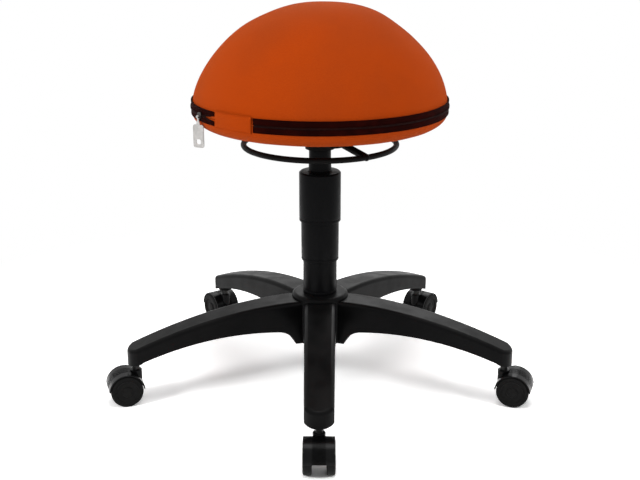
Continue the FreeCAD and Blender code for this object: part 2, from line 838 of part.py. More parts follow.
def star_base():
    """Five-armed moulded base."""
    hub = spun_points([(0, hub_bottom), (hub_radius, hub_bottom), (hub_radius, hub_top), (0, hub_top)])
    top_edge = [e for e in hub.Edges if e.BoundBox.ZMin > hub_top - 0.01 and e.BoundBox.XLength > 1]
    base = hub.makeFillet(hub_edge_round, top_edge)
    leg = one_leg()
    for arm in all_round(leg, leg_count, first_leg_angle):
        base = base.fuse(arm)
    base = base.removeSplitter()
    boss = stand_tube_radius + hub_boss_wall
    base = base.cut(tube(hub_radius - hub_rim_wall, boss, hub_bottom - 1, hub_top - hub_roof))
    base = base.cut(cylinder(stand_tube_radius, 0, hub_top + 1))
    bore = cylinder(stem_radius, base_underside - 1, base_underside + stem_in_base, castor_circle_radius)
    for hole in all_round(bore, leg_count, first_leg_angle):
        base = base.cut(hole)
    return base


# ---- Castors, built for a leg along +X, with the axle outboard of the stem
def castor_stem():
    """Steel stem: pressed into the base, turning in the housing."""
    shoulder_bottom = base_underside - stem_shoulder_height
    stem = cylinder(stem_radius, stem_boss_top - stem_in_housing, base_underside + stem_in_base)
    stem = stem.fuse(cylinder(stem_shoulder_radius, shoulder_bottom, base_underside))
    return moved(stem, x=castor_circle_radius)


def castor_housing():
    """Middle web with the stem's boss, and a hood over both wheels. The axle is fixed in the web."""
    half_web = web_width / 2
    half_hood = wheel_inner_y + wheel_width - hood_set_in
    web = bar(hood_radius, castor_trail, wheel_radius, half_web)
    hood = bar(hood_radius, castor_trail, wheel_radius, half_hood)
    hood = hood.cut(bar(hood_inner_radius, castor_trail, wheel_radius, half_hood + 1))
    reach = 2 * hood_radius
    below = block((-reach, -reach, -reach), (reach + castor_trail, reach, wheel_radius + hood_over_axle))
    housing = web.fuse(hood).cut(below)
    housing = housing.fuse(bar(web_foot_radius, castor_trail, wheel_radius, half_web))
    housing = housing.fuse(cylinder(stem_boss_radius, wheel_radius + hood_over_axle, stem_boss_top))
    bore_bottom = stem_boss_top - stem_in_housing - piece_gap
    housing = housing.cut(cylinder(stem_radius + running_gap, bore_bottom, stem_boss_top + 1))
    housing = housing.cut(bar(axle_radius, castor_trail, wheel_radius, half_web + 1))
    return moved(housing.removeSplitter(), x=castor_circle_radius)


def castor_axle():
    axle = bar(axle_radius, castor_trail, wheel_radius, axle_half_length)
    return moved(axle, x=castor_circle_radius)


def castor_wheel(side):
    """One wheel: a rounded tread and a dished outer face, free on the axle."""
    bore = axle_radius + running_gap
    outline = [
        (bore, 0),
        (wheel_radius - wheel_tread_round * 0.5, 0),
        (wheel_radius, wheel_tread_round * 0.5),
        (wheel_radius, wheel_width - wheel_tread_round),
        (wheel_radius - wheel_tread_round * 0.3, wheel_width - wheel_tread_round * 0.3),
        (wheel_radius - wheel_tread_round, wheel_width),
        (wheel_dish_radius + wheel_dish_depth, wheel_width),
        (wheel_dish_radius, wheel_width - wheel_dish_depth),
        (bore, wheel_width - wheel_dish_depth),
    ]
    wheel = spun_points(outline)
    wheel.rotate(Vector(0, 0, 0), Vector(1, 0, 0), -90 * side)
    return moved(wheel, castor_circle_radius + castor_trail, side * wheel_inner_y, wheel_radius)


# ---- Zip
def zip_band(radius, bore, width, start, end):
    """A band round the rim between two angles."""
    band = tube(radius, bore, tape_middle - width / 2, tape_middle + width / 2)
    low = tape_middle - width
    return ring_sector(band, start, end, 2 * radius, low, low + 2 * width)


def zip_tape():
    return zip_band(tape_radius, rim_radius, tape_width, tab_end_angle, tab_start_angle + 360)


def zip_coil():
    start = tab_end_angle + tab_lap_angle
    end = tab_start_angle + 360 - tab_lap_angle
    return zip_band(coil_radius, tape_radius, coil_width, start, end)


def closure_tab():
    """Cloth tab that bridges the gap between the zip's ends."""
    start = tab_start_angle + tab_lap_angle
    end = tab_end_angle - tab_lap_angle
    return zip_band(rim_radius + tab_thickness, rim_radius, tab_width, start, end)


def zip_slider():
    """Slider that straddles the coil, with a cross pin for the pull. Built along +X."""
    half_length = slider_length / 2
    half_width = slider_width / 2
    outer = slider_radius + slider_thickness
    low = tape_middle - half_width
    body = block((slider_radius, -half_length, low), (outer, half_length, tape_middle + half_width))
    upright = [e for e in body.Edges if is_upright(e)]
    body = body.makeFillet(slider_edge_round, upright)
    body = body.cut(cylinder(slider_radius, low - 1, low + slider_width + 2))
    notch_side = pull_neck_width / 2 + piece_gap
    pin_height = tape_middle - pull_drop
    eye = pull_pin_radius + pull_eye_wall + 2 * piece_gap
    notch = block(
        (pull_pin_reach - eye, -notch_side, low - 1), (outer + 1, notch_side, pin_height + eye)
    )
    body = body.cut(notch).fuse(bar(pull_pin_radius, pull_pin_reach, pin_height, notch_side + 0.5))
    return turned(body, slider_angle)


def zip_pull():
    """Flat hanging pull with an eye round the slider's pin. Built along +X."""
    pin_height = tape_middle - pull_drop
    neck_side = pull_neck_width / 2
    low = pin_height - pull_length
    shoulder = pin_height - pull_neck_length
    inner = pull_pin_reach - pull_thickness / 2
    outer = pull_pin_reach + pull_thickness / 2
    plate = block((inner, -pull_width / 2, low), (outer, pull_width / 2, shoulder))
    corners = [e for e in plate.Edges if abs(e.BoundBox.XLength - pull_thickness) < 1e-6]
    plate = plate.makeFillet(pull_corner, corners)
    plate.rotate(Vector(pull_pin_reach, 0, 0), Vector(0, 0, 1), pull_twist)
    plate = plate.fuse(block((inner, -neck_side, shoulder - pull_corner), (outer, neck_side, pin_height)))
    bore = pull_pin_radius + running_gap
    plate = plate.fuse(bar(bore + pull_eye_wall, pull_pin_reach, pin_height, neck_side))
    plate = plate.cut(bar(bore, pull_pin_reach, pin_height, neck_side + 1))
    return turned(plate, slider_angle)


def parts():
    """Every node's name and shape."""
    found = {
        "seat_cover": seat_cover(),
        "seat_cover_base": seat_cover_base(),
        "zip_tape": zip_tape(),
        "zip_coil": zip_coil(),
        "closure_tab": closure_tab(),
        "zip_slider": zip_slider(),
        "zip_pull": zip_pull(),
        "seat_foam": seat_foam(),
        "seat_board": seat_board(),
        "board_inserts": board_inserts(),
        "seat_screws": seat_screws(),
        "seat_plate": seat_plate(),
        "rubber_mount": rubber_mount(),
        "swing_housing": swing_housing(),
        "spring_socket": spring_socket(),
        "lever_pivot_pin": lever_pivot_pin(),
        "release_lever": release_lever(),
        "release_ring": release_ring(),
        "release_pin": release_pin(),
        "pressure_tube": pressure_tube(),
        "rod_guide": rod_guide(),
        "piston": piston(),
        "piston_rod": piston_rod(),
        "rod_clip": rod_clip(),
        "lower_race": lower_race(),
        "bearing_balls": bearing_balls(),
        "upper_race": upper_race(),
        "bump_stop": bump_stop(),
        "guide_bush": guide_bush(),
        "stand_tube": stand_tube(),
        "cover_outer": cover_outer(),
        "cover_inner": cover_inner(),
        "cover_lower": cover_lower(),
        "star_base": star_base(),
    }
    castor = {
        "stem": castor_stem(),
        "housing": castor_housing(),
        "axle": castor_axle(),
        "wheel_left": castor_wheel(1),
        "wheel_right": castor_wheel(-1),
    }
    for number in range(leg_count):
        angle = first_leg_angle + 360.0 * number / leg_count
        for piece, shape in castor.items():
            found[f"castor_{number + 1}_{piece}"] = turned(shape, angle)
    return found


os.makedirs("parts", exist_ok=True)
for name, shape in parts().items():
    if not shape.isValid() or not shape.Solids or shape.Volume <= 0:
        print("check this piece:", name)
    shape.exportStep(f"parts/{name}.step")
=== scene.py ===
import math

import bmesh
import bpy
from mathutils import Matrix, Vector, noise


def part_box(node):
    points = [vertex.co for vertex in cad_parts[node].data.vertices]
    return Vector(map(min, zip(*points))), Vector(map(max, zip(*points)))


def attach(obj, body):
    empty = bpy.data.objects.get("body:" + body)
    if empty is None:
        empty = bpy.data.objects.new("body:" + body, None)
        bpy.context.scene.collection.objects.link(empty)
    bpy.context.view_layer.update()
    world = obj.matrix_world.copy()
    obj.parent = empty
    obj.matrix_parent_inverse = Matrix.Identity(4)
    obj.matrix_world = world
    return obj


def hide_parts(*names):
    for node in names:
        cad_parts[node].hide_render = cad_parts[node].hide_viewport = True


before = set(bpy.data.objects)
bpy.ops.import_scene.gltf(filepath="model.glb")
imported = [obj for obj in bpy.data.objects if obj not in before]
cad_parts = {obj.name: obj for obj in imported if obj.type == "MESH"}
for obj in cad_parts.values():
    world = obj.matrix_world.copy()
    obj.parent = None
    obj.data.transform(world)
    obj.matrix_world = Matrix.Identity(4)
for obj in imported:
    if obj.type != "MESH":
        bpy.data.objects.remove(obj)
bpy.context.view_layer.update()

# A wobble stool: the seat's cloth, the zip round its rim, the column's covers and the castors
# are dressed pieces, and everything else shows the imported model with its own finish.
# Metres, +Z up. One leg points along -Y.

mm = 0.001

# ---- Seat
rim_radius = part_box("seat_cover")[1].x
rim_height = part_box("seat_cover")[0].z
crown_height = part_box("seat_cover")[1].z
underside_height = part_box("seat_cover_base")[0].z
dome_height = crown_height - rim_height
dome_plan_power = 1.8
dome_rise_power = 1.8
bowl_flat_radius = 155 * mm
bowl_depth = 23.5 * mm
hem_radius = 67.6 * mm
cloth_thickness = 1.8 * mm
cloth_pressure = 150.0
cloth_swell = 3.0 * mm          # the most that the filling may move the cloth
cloth_slack = 1.2 * mm          # how much smaller the cloth is before it is filled
cloth_pinch = 0.4 * mm          # how far the sewn edges are pulled in behind the tape
dome_lean = 1.6 * mm            # the filling sits a little to one side
crown_lean = 5.0 * mm           # and its crown a little further
dome_unevenness = 0.5 * mm
pucker_depth = 0.5 * mm
pucker_reach = 24 * mm
dome_columns = 144
dome_rows = 40
underside_rows = 16

# ---- Zip and closure tab
leg_count = 5
first_leg_angle = -90.0
tape_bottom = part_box("zip_tape")[0].z
tape_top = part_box("zip_tape")[1].z
tape_middle = (tape_bottom + tape_top) / 2
tape_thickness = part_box("zip_tape")[1].x - rim_radius
tape_parting = 1.0 * mm         # between the two tapes where the zip is closed
tape_opening = 7.0 * mm         # between them where they run under the closure tab
coil_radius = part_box("zip_coil")[1].x
tooth_pitch = 1.6 * mm
tooth_length = 2.9 * mm
tooth_width = 1.0 * mm
tooth_depth = 0.9 * mm
tab_start_angle = -140.2
tab_end_angle = -118.0
tab_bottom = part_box("closure_tab")[0].z
tab_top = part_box("closure_tab")[1].z
tab_thickness = 1.5 * mm
slider_angle = -151.5
slider_length = 13.0 * mm
slider_front_width = 9.0 * mm
slider_back_width = 6.4 * mm
pull_length = 45.0 * mm
pull_width = 18.0 * mm
pull_corner = 4.0 * mm
pull_twist = 35.0
pull_neck_width = 6.2 * mm
pull_neck_length = 11.0 * mm
pull_thickness = 1.4 * mm
pull_pin_height = tape_middle - 3.0 * mm
pull_pin_reach = rim_radius + 5.4 * mm
sewn_gap = 0.05 * mm            # between the cover and what is sewn to it
stitch_pitch = 3.2 * mm
stitch_length = 2.3 * mm
stitch_width = 0.55 * mm
stitch_inset = 2.4 * mm

# ---- Column covers
cover_wall = 1.8 * mm
cover_neck_length = 35.0 * mm   # of the outer cover's collar, above its roof
cover_lip_height = 4.0 * mm
highlight_band_low = 9.0 * mm             # the collar's lighter band, a painted highlight, above the roof
highlight_band_high = 14.5 * mm

# ---- Castors
castor_circle_radius = 300 * mm
castor_trail = 17.5 * mm
wheel_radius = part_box("castor_1_wheel_left")[1].z / 2
wheel_inner_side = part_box("castor_1_wheel_left")[0].x
wheel_outer_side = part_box("castor_1_wheel_left")[1].x
axle_radius = 4.0 * mm
hood_inner_radius = wheel_radius + 0.8 * mm
hood_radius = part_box("castor_1_housing")[1].z - wheel_radius - 0.7 * mm
hood_over_axle = 2.0 * mm
hood_half_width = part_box("castor_1_housing")[1].x
web_half_width = 9.6 * mm
web_foot_radius = 9.0 * mm
stem_boss_radius = 9.0 * mm
stem_bore_radius = 5.6 * mm
stem_boss_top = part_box("castor_1_housing")[1].z


# ---- Mesh helpers
def rounded(points, radius, steps=4):
    """A closed outline of (x, y) points with every corner rounded."""
    corners = [Vector(p) for p in points]
    outline = []
    for i, corner in enumerate(corners):
        back = corners[i - 1] - corner
        ahead = corners[(i + 1) % len(corners)] - corner
        half = back.angle(ahead) / 2
        reach = min(radius / math.tan(half), back.length * 0.49, ahead.length * 0.49)
        start = corner + back.normalized() * reach
        end = corner + ahead.normalized() * reach
        for j in range(steps + 1):
            t = j / steps
            outline.append(start.lerp(corner, t).lerp(corner.lerp(end, t), t))
    return [(p.x, p.y) for p in outline]


def lengths_along(points):
    """The way run from the first point to each of them."""
    along = [0.0]
    for p, q in zip(points, points[1:]):
        along.append(along[-1] + math.hypot(q[0] - p[0], q[1] - p[1]))
    return along


def arc(centre, radius, start, end, steps):
    """Points of an arc in a plane, angles in degrees."""
    points = []
    for i in range(steps + 1):
        angle = math.radians(start + (end - start) * i / steps)
        points.append((centre[0] + radius * math.cos(angle), centre[1] + radius * math.sin(angle)))
    return points


def turned_shape(outline, steps, start=0.0, end=360.0):
    """A closed (radius, height) outline turned about Z, with capped ends on a part turn.
    Its UV map has the way round in U and the way along the outline in V, in metres."""
    shape = bmesh.new()
    weave = shape.loops.layers.uv.new("weave")
    full = end - start > 359.999
    reference = max(r for r, z in outline)
    along = lengths_along(outline + outline[:1])
    rings = []
    for i in range(steps if full else steps + 1):
        angle = math.radians(start + (end - start) * i / steps)
        rings.append([shape.verts.new((r * math.cos(angle), r * math.sin(angle), z)) for r, z in outline])
    count = len(outline)
    arc_step = math.radians(end - start) / steps * reference
    for i in range(steps):
        here, there = rings[i], rings[(i + 1) % len(rings)]
        for j in range(count):
            k = (j + 1) % count
            face = shape.faces.new((here[j], there[j], there[k], here[k]))
            corners = ((i, j), (i + 1, j), (i + 1, j + 1), (i, j + 1))
            for loop, (u, v) in zip(face.loops, corners):
                loop[weave].uv = (u * arc_step, along[v])
    if not full:
        shape.faces.new(rings[0])
        shape.faces.new(rings[-1])
    return tidy(shape)


def skinned(rings, looped=False):
    """A closed skin over rings of points, capped at its two ends unless the rings are looped."""
    shape = bmesh.new()
    made = [[shape.verts.new(point) for point in ring] for ring in rings]
    count = len(made[0])
    for here, there in zip(made, made[1:] + (made[:1] if looped else [])):
        for j in range(count):
            k = (j + 1) % count
            shape.faces.new((here[j], here[k], there[k], there[j]))
    if not looped:
        shape.faces.new(made[0])
        shape.faces.new(made[-1])
    return tidy(shape)


def pushed_shape(outline, low, high):
    """A closed (x, z) outline pushed along Y from low to high."""
    return skinned([[(x, y, z) for x, z in outline] for y in (low, high)])


def tidy(shape):
    """Merge doubles and turn every face outwards."""
    bmesh.ops.remove_doubles(shape, verts=shape.verts, dist=1e-7)
    bmesh.ops.recalc_face_normals(shape, faces=shape.faces)
    return shape


def joined(shapes):
    """One mesh from several closed shapes."""
    whole = bpy.data.meshes.new("joined")
    result = bmesh.new()
    for shape in shapes:
        shape.to_mesh(whole)
        result.from_mesh(whole)
        shape.free()
    bpy.data.meshes.remove(whole)
    return result


def set_out(shape, angle=0.0, x=0.0, y=0.0, z=0.0):
    """Move a shape, then turn it about the column's axis, in degrees."""
    turn = Matrix.Rotation(math.radians(angle), 4, "Z") @ Matrix.Translation((x, y, z))
    shape.transform(turn)
    return shape


def piece(name, shape, body, material, slot, *nodes, sharp=35.0):
    """A finished piece of the object, from a bmesh or a mesh."""
    if isinstance(shape, bmesh.types.BMesh):
        mesh = bpy.data.meshes.new(name)
        shape.to_mesh(mesh)
        shape.free()
    else:
        mesh = shape
        mesh.name = name
    mesh.materials.clear()
    for one in material if isinstance(material, list) else [material]:
        mesh.materials.append(one)
    mesh.polygons.foreach_set("use_smooth", [True] * len(mesh.polygons))
    mesh.set_sharp_from_angle(angle=math.radians(sharp))
    obj = bpy.data.objects.new(name, mesh)
    bpy.context.scene.collection.objects.link(obj)
    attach(obj, body)
    if nodes:
        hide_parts(*nodes)
    return obj


def eased(obj, width, segments=2, angle=35.0):
    """Round a piece's sharp edges."""
    bevel = obj.modifiers.new("eased edges", "BEVEL")
    bevel.width = width
    bevel.segments = segments
    bevel.limit_method = "ANGLE"
    bevel.angle_limit = math.radians(angle)
    bevel.harden_normals = True
    return obj


def smooth_step(value, low, high):
    """0 below low, 1 above high, and smooth between them."""
    t = min(max((value - low) / (high - low), 0.0), 1.0)
    return t * t * (3 - 2 * t)


# ---- Node helpers
def add(tree, kind, inputs=None, out=0, **settings):
    """Add a node, set or link its inputs, and return one of its outputs."""
    node = tree.nodes.new(kind)
    for key, value in settings.items():
        setattr(node, key, value)
    for key, value in (inputs or {}).items():
        feed(tree, value, node.inputs[key])
    return node.outputs[out]


def feed(tree, value, socket):
    """Link another node's output to a socket, or set a constant on it."""
    if isinstance(value, bpy.types.NodeSocket):
        tree.links.new(value, socket)
    else:
        socket.default_value = value


def calc(tree, operation, a, b=0.0, c=0.0):
    """A Math node's result."""
    return add(tree, "ShaderNodeMath", {0: a, 1: b, 2: c}, operation=operation)


def remap(tree, value, low, high, to_low, to_high):
    """A value carried smoothly from one range to another."""
    inputs = {0: value, 1: low, 2: high, 3: to_low, 4: to_high}
    return add(tree, "ShaderNodeMapRange", inputs, interpolation_type="SMOOTHSTEP")


socket_types = {
    type(None): "NodeSocketVector", tuple: "NodeSocketColor", int: "NodeSocketInt", float: "NodeSocketFloat",
}


def new_group(name, inputs, outputs, kind="ShaderNodeTree"):
    """An empty node group with named inputs and outputs: its tree, sources and sinks."""
    tree = bpy.data.node_groups.new(name, kind)
    for label, value in inputs.items():
        socket_type = socket_types[type(value)]
        socket = tree.interface.new_socket(label, in_out="INPUT", socket_type=socket_type)
        if value is not None:
            socket.default_value = value
    for label, socket_type in outputs.items():
        tree.interface.new_socket(label, in_out="OUTPUT", socket_type=socket_type)
    source = tree.nodes.new("NodeGroupInput")
    sink = tree.nodes.new("NodeGroupOutput")
    return tree, source.outputs, sink.inputs


def use(tree, group, inputs, out):
    """Place a shader group in a material and return one of its outputs."""
    return add(tree, "ShaderNodeGroup", inputs, out, node_tree=group)


def blend_colour(tree, mask, first, second, mode="MIX"):
    """One colour over another by a mask."""
    inputs = {0: mask, 6: first, 7: second}
    return add(tree, "ShaderNodeMix", inputs, out=2, data_type="RGBA", blend_type=mode)


# ---- Effects that several materials share
def make_patchy_colour():
    """Two colours that drift into each other in soft patches."""
    tree, source, sink = new_group(
        "Patchy colour",
        {
            "Position": None,
            "Patch size": 0.05,
            "First colour": (0.5, 0.5, 0.5, 1),
            "Second colour": (0.4, 0.4, 0.4, 1),
            "Balance": 0.5,
        },
        {"Colour": "NodeSocketColor", "Mask": "NodeSocketFloat"},
    )
    scale = calc(tree, "DIVIDE", 1.0, source["Patch size"])
    patches = add(tree, "ShaderNodeTexNoise", {"Vector": source["Position"], "Scale": scale, "Detail": 4.0})
    low = calc(tree, "SUBTRACT", source["Balance"], 0.2)
    high = calc(tree, "ADD", source["Balance"], 0.2)
    mask = remap(tree, patches, low, high, 0.0, 1.0)
    mixed = blend_colour(tree, mask, source["First colour"], source["Second colour"])
    tree.links.new(mixed, sink["Colour"])
    tree.links.new(mask, sink["Mask"])
    return tree


def make_moulded_grain():
    """The fine pebbled skin of moulded plastic and thick paint."""
    tree, source, sink = new_group(
        "Moulded grain",
        {"Position": None, "Grain size": 0.001, "Softness": 0.5},
        {"Height": "NodeSocketFloat"},
    )
    scale = calc(tree, "DIVIDE", 1.0, source["Grain size"])
    inputs = {"Vector": source["Position"], "Scale": scale, "Smoothness": source["Softness"]}
    pebbles = add(tree, "ShaderNodeTexVoronoi", inputs, feature="SMOOTH_F1")
    half = calc(tree, "MULTIPLY", scale, 0.45)
    rolling = add(tree, "ShaderNodeTexNoise", {"Vector": source["Position"], "Scale": half, "Detail": 2.0})
    height = calc(tree, "MULTIPLY_ADD", pebbles, -0.8, rolling)
    tree.links.new(height, sink["Height"])
    return tree


def make_settled_dust_and_top_light():
    """Dust that lies thinly on upward faces, thicker in patches; its pale grey also paints light falling on
    those faces.
    """
    tree, source, sink = new_group(
        "Settled dust",
        {"Position": None, "Patch size": 0.03, "Amount": 0.3},
        {"Mask": "NodeSocketFloat"},
    )
    normal = add(tree, "ShaderNodeNewGeometry", out="Normal")
    upward = add(tree, "ShaderNodeSeparateXYZ", {0: normal}, out="Z")
    lying = remap(tree, upward, 0.25, 0.98, 0.0, 1.0)
    scale = calc(tree, "DIVIDE", 1.0, source["Patch size"])
    patches = add(tree, "ShaderNodeTexNoise", {"Vector": source["Position"], "Scale": scale, "Detail": 6.0})
    thick = remap(tree, patches, 0.3, 0.75, 0.35, 1.0)
    mask = calc(tree, "MULTIPLY", calc(tree, "MULTIPLY", lying, thick), source["Amount"])
    tree.links.new(mask, sink["Mask"])
    return tree


def make_fine_scuffs():
    """Thin, short rub marks that run different ways."""
    tree, source, sink = new_group(
        "Fine scuffs",
        {"Position": None, "Mark size": 0.01, "Amount": 0.3},
        {"Mask": "NodeSocketFloat"},
    )
    scale = calc(tree, "DIVIDE", 1.0, source["Mark size"])
    marks = None
    for turn, stretch in (((0.3, 0.1, 0.4), (1.0, 14.0, 5.0)), ((1.1, 0.5, 1.9), (12.0, 1.0, 4.0))):
        inputs = {"Vector": source["Position"], "Rotation": turn, "Scale": stretch}
        stretched = add(tree, "ShaderNodeMapping", inputs)
        inputs = {"Vector": stretched, "Scale": scale, "Detail": 3.0, "Distortion": 0.4}
        lines = add(tree, "ShaderNodeTexNoise", inputs)
        thin = remap(tree, lines, 0.66, 0.74, 0.0, 1.0)
        marks = thin if marks is None else calc(tree, "MAXIMUM", marks, thin)
    where = add(tree, "ShaderNodeTexNoise", {"Vector": source["Position"], "Scale": 9.0, "Detail": 2.0})
    worn = remap(tree, where, 0.42, 0.62, 0.0, 1.0)
    mask = calc(tree, "MULTIPLY", calc(tree, "MULTIPLY", marks, worn), source["Amount"])
    tree.links.new(mask, sink["Mask"])
    return tree


def make_knitted_loops():
    """Columns of knitted loops: each column is a row of small Vs. Position is in metres."""
    tree, source, sink = new_group(
        "Knitted loops",
        {"Position": None, "Column width": 0.001, "Loop height": 0.001},
        {"Height": "NodeSocketFloat", "Shade": "NodeSocketFloat"},
    )
    parts = tree.nodes.new("ShaderNodeSeparateXYZ")
    tree.links.new(source["Position"], parts.inputs[0])
    across = calc(tree, "DIVIDE", parts.outputs[0], source["Column width"])
    along = calc(tree, "DIVIDE", parts.outputs[1], source["Loop height"])
    arm = calc(tree, "ABSOLUTE", calc(tree, "SUBTRACT", calc(tree, "FRACT", across), 0.5))
    half_column = calc(tree, "FRACT", calc(tree, "MULTIPLY", across, 2.0))
    from_middle = calc(tree, "SUBTRACT", calc(tree, "MULTIPLY", half_column, 2.0), 1.0)
    thread = calc(tree, "SUBTRACT", 1.0, calc(tree, "MULTIPLY", from_middle, from_middle))
    phase = calc(tree, "MULTIPLY_ADD", arm, 1.3, along)
    wave = calc(tree, "SINE", calc(tree, "MULTIPLY", phase, 2 * math.pi))
    rise = calc(tree, "MULTIPLY_ADD", wave, 0.3, 0.7)
    height = calc(tree, "MULTIPLY", thread, rise)
    tree.links.new(height, sink["Height"])
    tree.links.new(remap(tree, height, 0.0, 0.9, 0.0, 1.0), sink["Shade"])
    return tree


def make_herringbone():
    """Close-woven ribs that change slant every few threads. Position is in metres."""
    tree, source, sink = new_group(
        "Herringbone weave",
        {"Position": None, "Thread width": 0.0005},
        {"Height": "NodeSocketFloat"},
    )
    parts = tree.nodes.new("ShaderNodeSeparateXYZ")
    tree.links.new(source["Position"], parts.inputs[0])
    across = calc(tree, "DIVIDE", parts.outputs[1], source["Thread width"])
    along = calc(tree, "DIVIDE", parts.outputs[0], source["Thread width"])
    slant = calc(tree, "PINGPONG", across, 4.0)
    rib = calc(tree, "SINE", calc(tree, "MULTIPLY", calc(tree, "ADD", along, slant), math.pi))
    pick = calc(tree, "ABSOLUTE", calc(tree, "SINE", calc(tree, "MULTIPLY", across, math.pi)))
    ribs = calc(tree, "MULTIPLY_ADD", rib, 0.5, 0.5)
    picks = calc(tree, "MULTIPLY_ADD", pick, 0.5, 0.5)
    height = calc(tree, "MULTIPLY", ribs, picks)
    tree.links.new(height, sink["Height"])
    return tree


patchy_colour = make_patchy_colour()
moulded_grain = make_moulded_grain()
settled_dust_and_top_light = make_settled_dust_and_top_light()
fine_scuffs = make_fine_scuffs()
knitted_loops = make_knitted_loops()
herringbone = make_herringbone()


# ---- Finishes
def new_finish(name):
    """A material with one Principled shader: the material, its tree and the shader's inputs."""
    material = bpy.data.materials.new(name)
    material.use_nodes = True
    tree = material.node_tree
    return material, tree, tree.nodes["Principled BSDF"].inputs


def dress(tree, shader, colour, rough, normal, specular):
    """Give a Principled shader its colour, roughness, normal and specular level."""
    tree.links.new(colour, shader["Base Color"])
    tree.links.new(rough, shader["Roughness"])
    tree.links.new(normal, shader["Normal"])
    shader["Specular IOR Level"].default_value = specular


def lift(tree, height, depth, strength=1.0, under=None):
    """A bump of a real depth in metres, on top of another normal if there is one."""
    inputs = {"Height": height, "Distance": depth, "Strength": strength}
    if under is not None:
        inputs["Normal"] = under
    return add(tree, "ShaderNodeBump", inputs)


def hard_finish(
    name, first, second, roughness, specular=0.5, patch=0.05, grain=0.8 * mm, depth=0.03 * mm,
    dust_and_top_light=0.0, scuffs=0.0, metallic=0.0,
):
    """Moulded plastic, paint or metal, with its grain, drifting tone, scuffs, and a dusting on upward faces
    that also paints the light falling on them.
    """
    material, tree, shader = new_finish(name)
    place = add(tree, "ShaderNodeTexCoord", out="Object")
    inputs = {
        "Position": place,
        "Patch size": patch,
        "First colour": (*first, 1),
        "Second colour": (*second, 1),
    }
    colour = use(tree, patchy_colour, inputs, "Colour")
    tone = use(tree, patchy_colour, {"Position": place, "Patch size": patch * 0.4}, "Mask")
    rough = remap(tree, tone, 0.0, 1.0, roughness[0], roughness[1])
    if scuffs:
        marks = use(tree, fine_scuffs, {"Position": place, "Amount": scuffs}, "Mask")
        rubbed = tuple(min(c * 1.6 + 0.012, 1.0) for c in first)
        colour = blend_colour(tree, marks, colour, (*rubbed, 1))
        rough = calc(tree, "MULTIPLY_ADD", marks, 0.12, rough)
    if dust_and_top_light:
        # The dusting lightens upward faces towards a pale grey: partly a real dusting, partly painted light
        # from above.
        lying = use(tree, settled_dust_and_top_light, {"Position": place, "Amount": dust_and_top_light}, "Mask")
        colour = blend_colour(tree, lying, colour, (0.17, 0.165, 0.16, 1))
        rough = calc(tree, "MULTIPLY_ADD", lying, 0.5, rough)
    height = use(tree, moulded_grain, {"Position": place, "Grain size": grain}, "Height")
    dress(tree, shader, colour, rough, lift(tree, height, depth), specular)
    shader["Metallic"].default_value = metallic
    return material


def knitted_cloth(name, first, second, gap_shade):
    """Stretch knit: loops with painted shade between them, a drifting colour, a soft sheen and puckers along
    the sewn rim.
    """
    material, tree, shader = new_finish(name)
    place = add(tree, "ShaderNodeTexCoord", out="Object")
    weave = add(tree, "ShaderNodeUVMap", uv_map="weave")
    seam = add(tree, "ShaderNodeUVMap", uv_map="seam")
    inputs = {"Position": weave, "Column width": 1.3 * mm, "Loop height": 1.05 * mm}
    loops = use(tree, knitted_loops, inputs, "Height")
    shade = use(tree, knitted_loops, inputs, "Shade")
    inputs = {
        "Position": place,
        "Patch size": 0.11,
        "First colour": (*first, 1),
        "Second colour": (*second, 1),
        "Balance": 0.52,
    }
    colour = use(tree, patchy_colour, inputs, "Colour")
    yarn = add(tree, "ShaderNodeTexNoise", {"Vector": weave, "Scale": 420.0, "Detail": 2.0})
    colour = blend_colour(tree, remap(tree, yarn, 0.3, 0.7, 0.0, 0.22), colour, (*first, 1), "MULTIPLY")
    # Painted shade: the hollows between the loops are darkened towards the gap colour.
    colour = blend_colour(tree, shade, (*gap_shade, 1), colour)
    stretched = add(tree, "ShaderNodeMapping", {"Vector": seam, "Scale": (95.0, 16.0, 1.0)})
    gathers = add(tree, "ShaderNodeTexNoise", {"Vector": stretched, "Scale": 1.0, "Detail": 2.0})
    from_seam = add(tree, "ShaderNodeSeparateXYZ", {0: seam}, out="Y")
    near_seam = remap(tree, from_seam, 0.0, pucker_reach, 1.0, 0.0)
    gathers = calc(tree, "MULTIPLY", gathers, near_seam)
    normal = lift(tree, gathers, 1.6 * mm)
    normal = lift(tree, loops, 0.22 * mm, 0.8, normal)
    dress(tree, shader, colour, remap(tree, loops, 0.0, 1.0, 0.95, 0.8), normal, 0.06)
    shader["Sheen Weight"].default_value = 0.12
    shader["Sheen Roughness"].default_value = 0.4
    shader["Sheen Tint"].default_value = (1.0, 0.36, 0.1, 1)
    return material


def woven_tape(name, first, second):
    """Close herringbone tape, with painted shade in the hollows between its ribs."""
    material, tree, shader = new_finish(name)
    place = add(tree, "ShaderNodeTexCoord", out="Object")
    weave = add(tree, "ShaderNodeUVMap", uv_map="weave")
    inputs = {
        "Position": place,
        "Patch size": 0.02,
        "First colour": (*first, 1),
        "Second colour": (*second, 1),
    }
    colour = use(tree, patchy_colour, inputs, "Colour")
    ribs = use(tree, herringbone, {"Position": weave, "Thread width": 0.55 * mm}, "Height")
    # Painted shade: the low parts between the ribs are darkened towards the second colour.
    colour = blend_colour(tree, remap(tree, ribs, 0.0, 0.6, 0.55, 0.0), colour, (*second, 1))
    dress(tree, shader, colour, remap(tree, ribs, 0.0, 1.0, 0.92, 0.74), lift(tree, ribs, 0.16 * mm), 0.03)
    return material


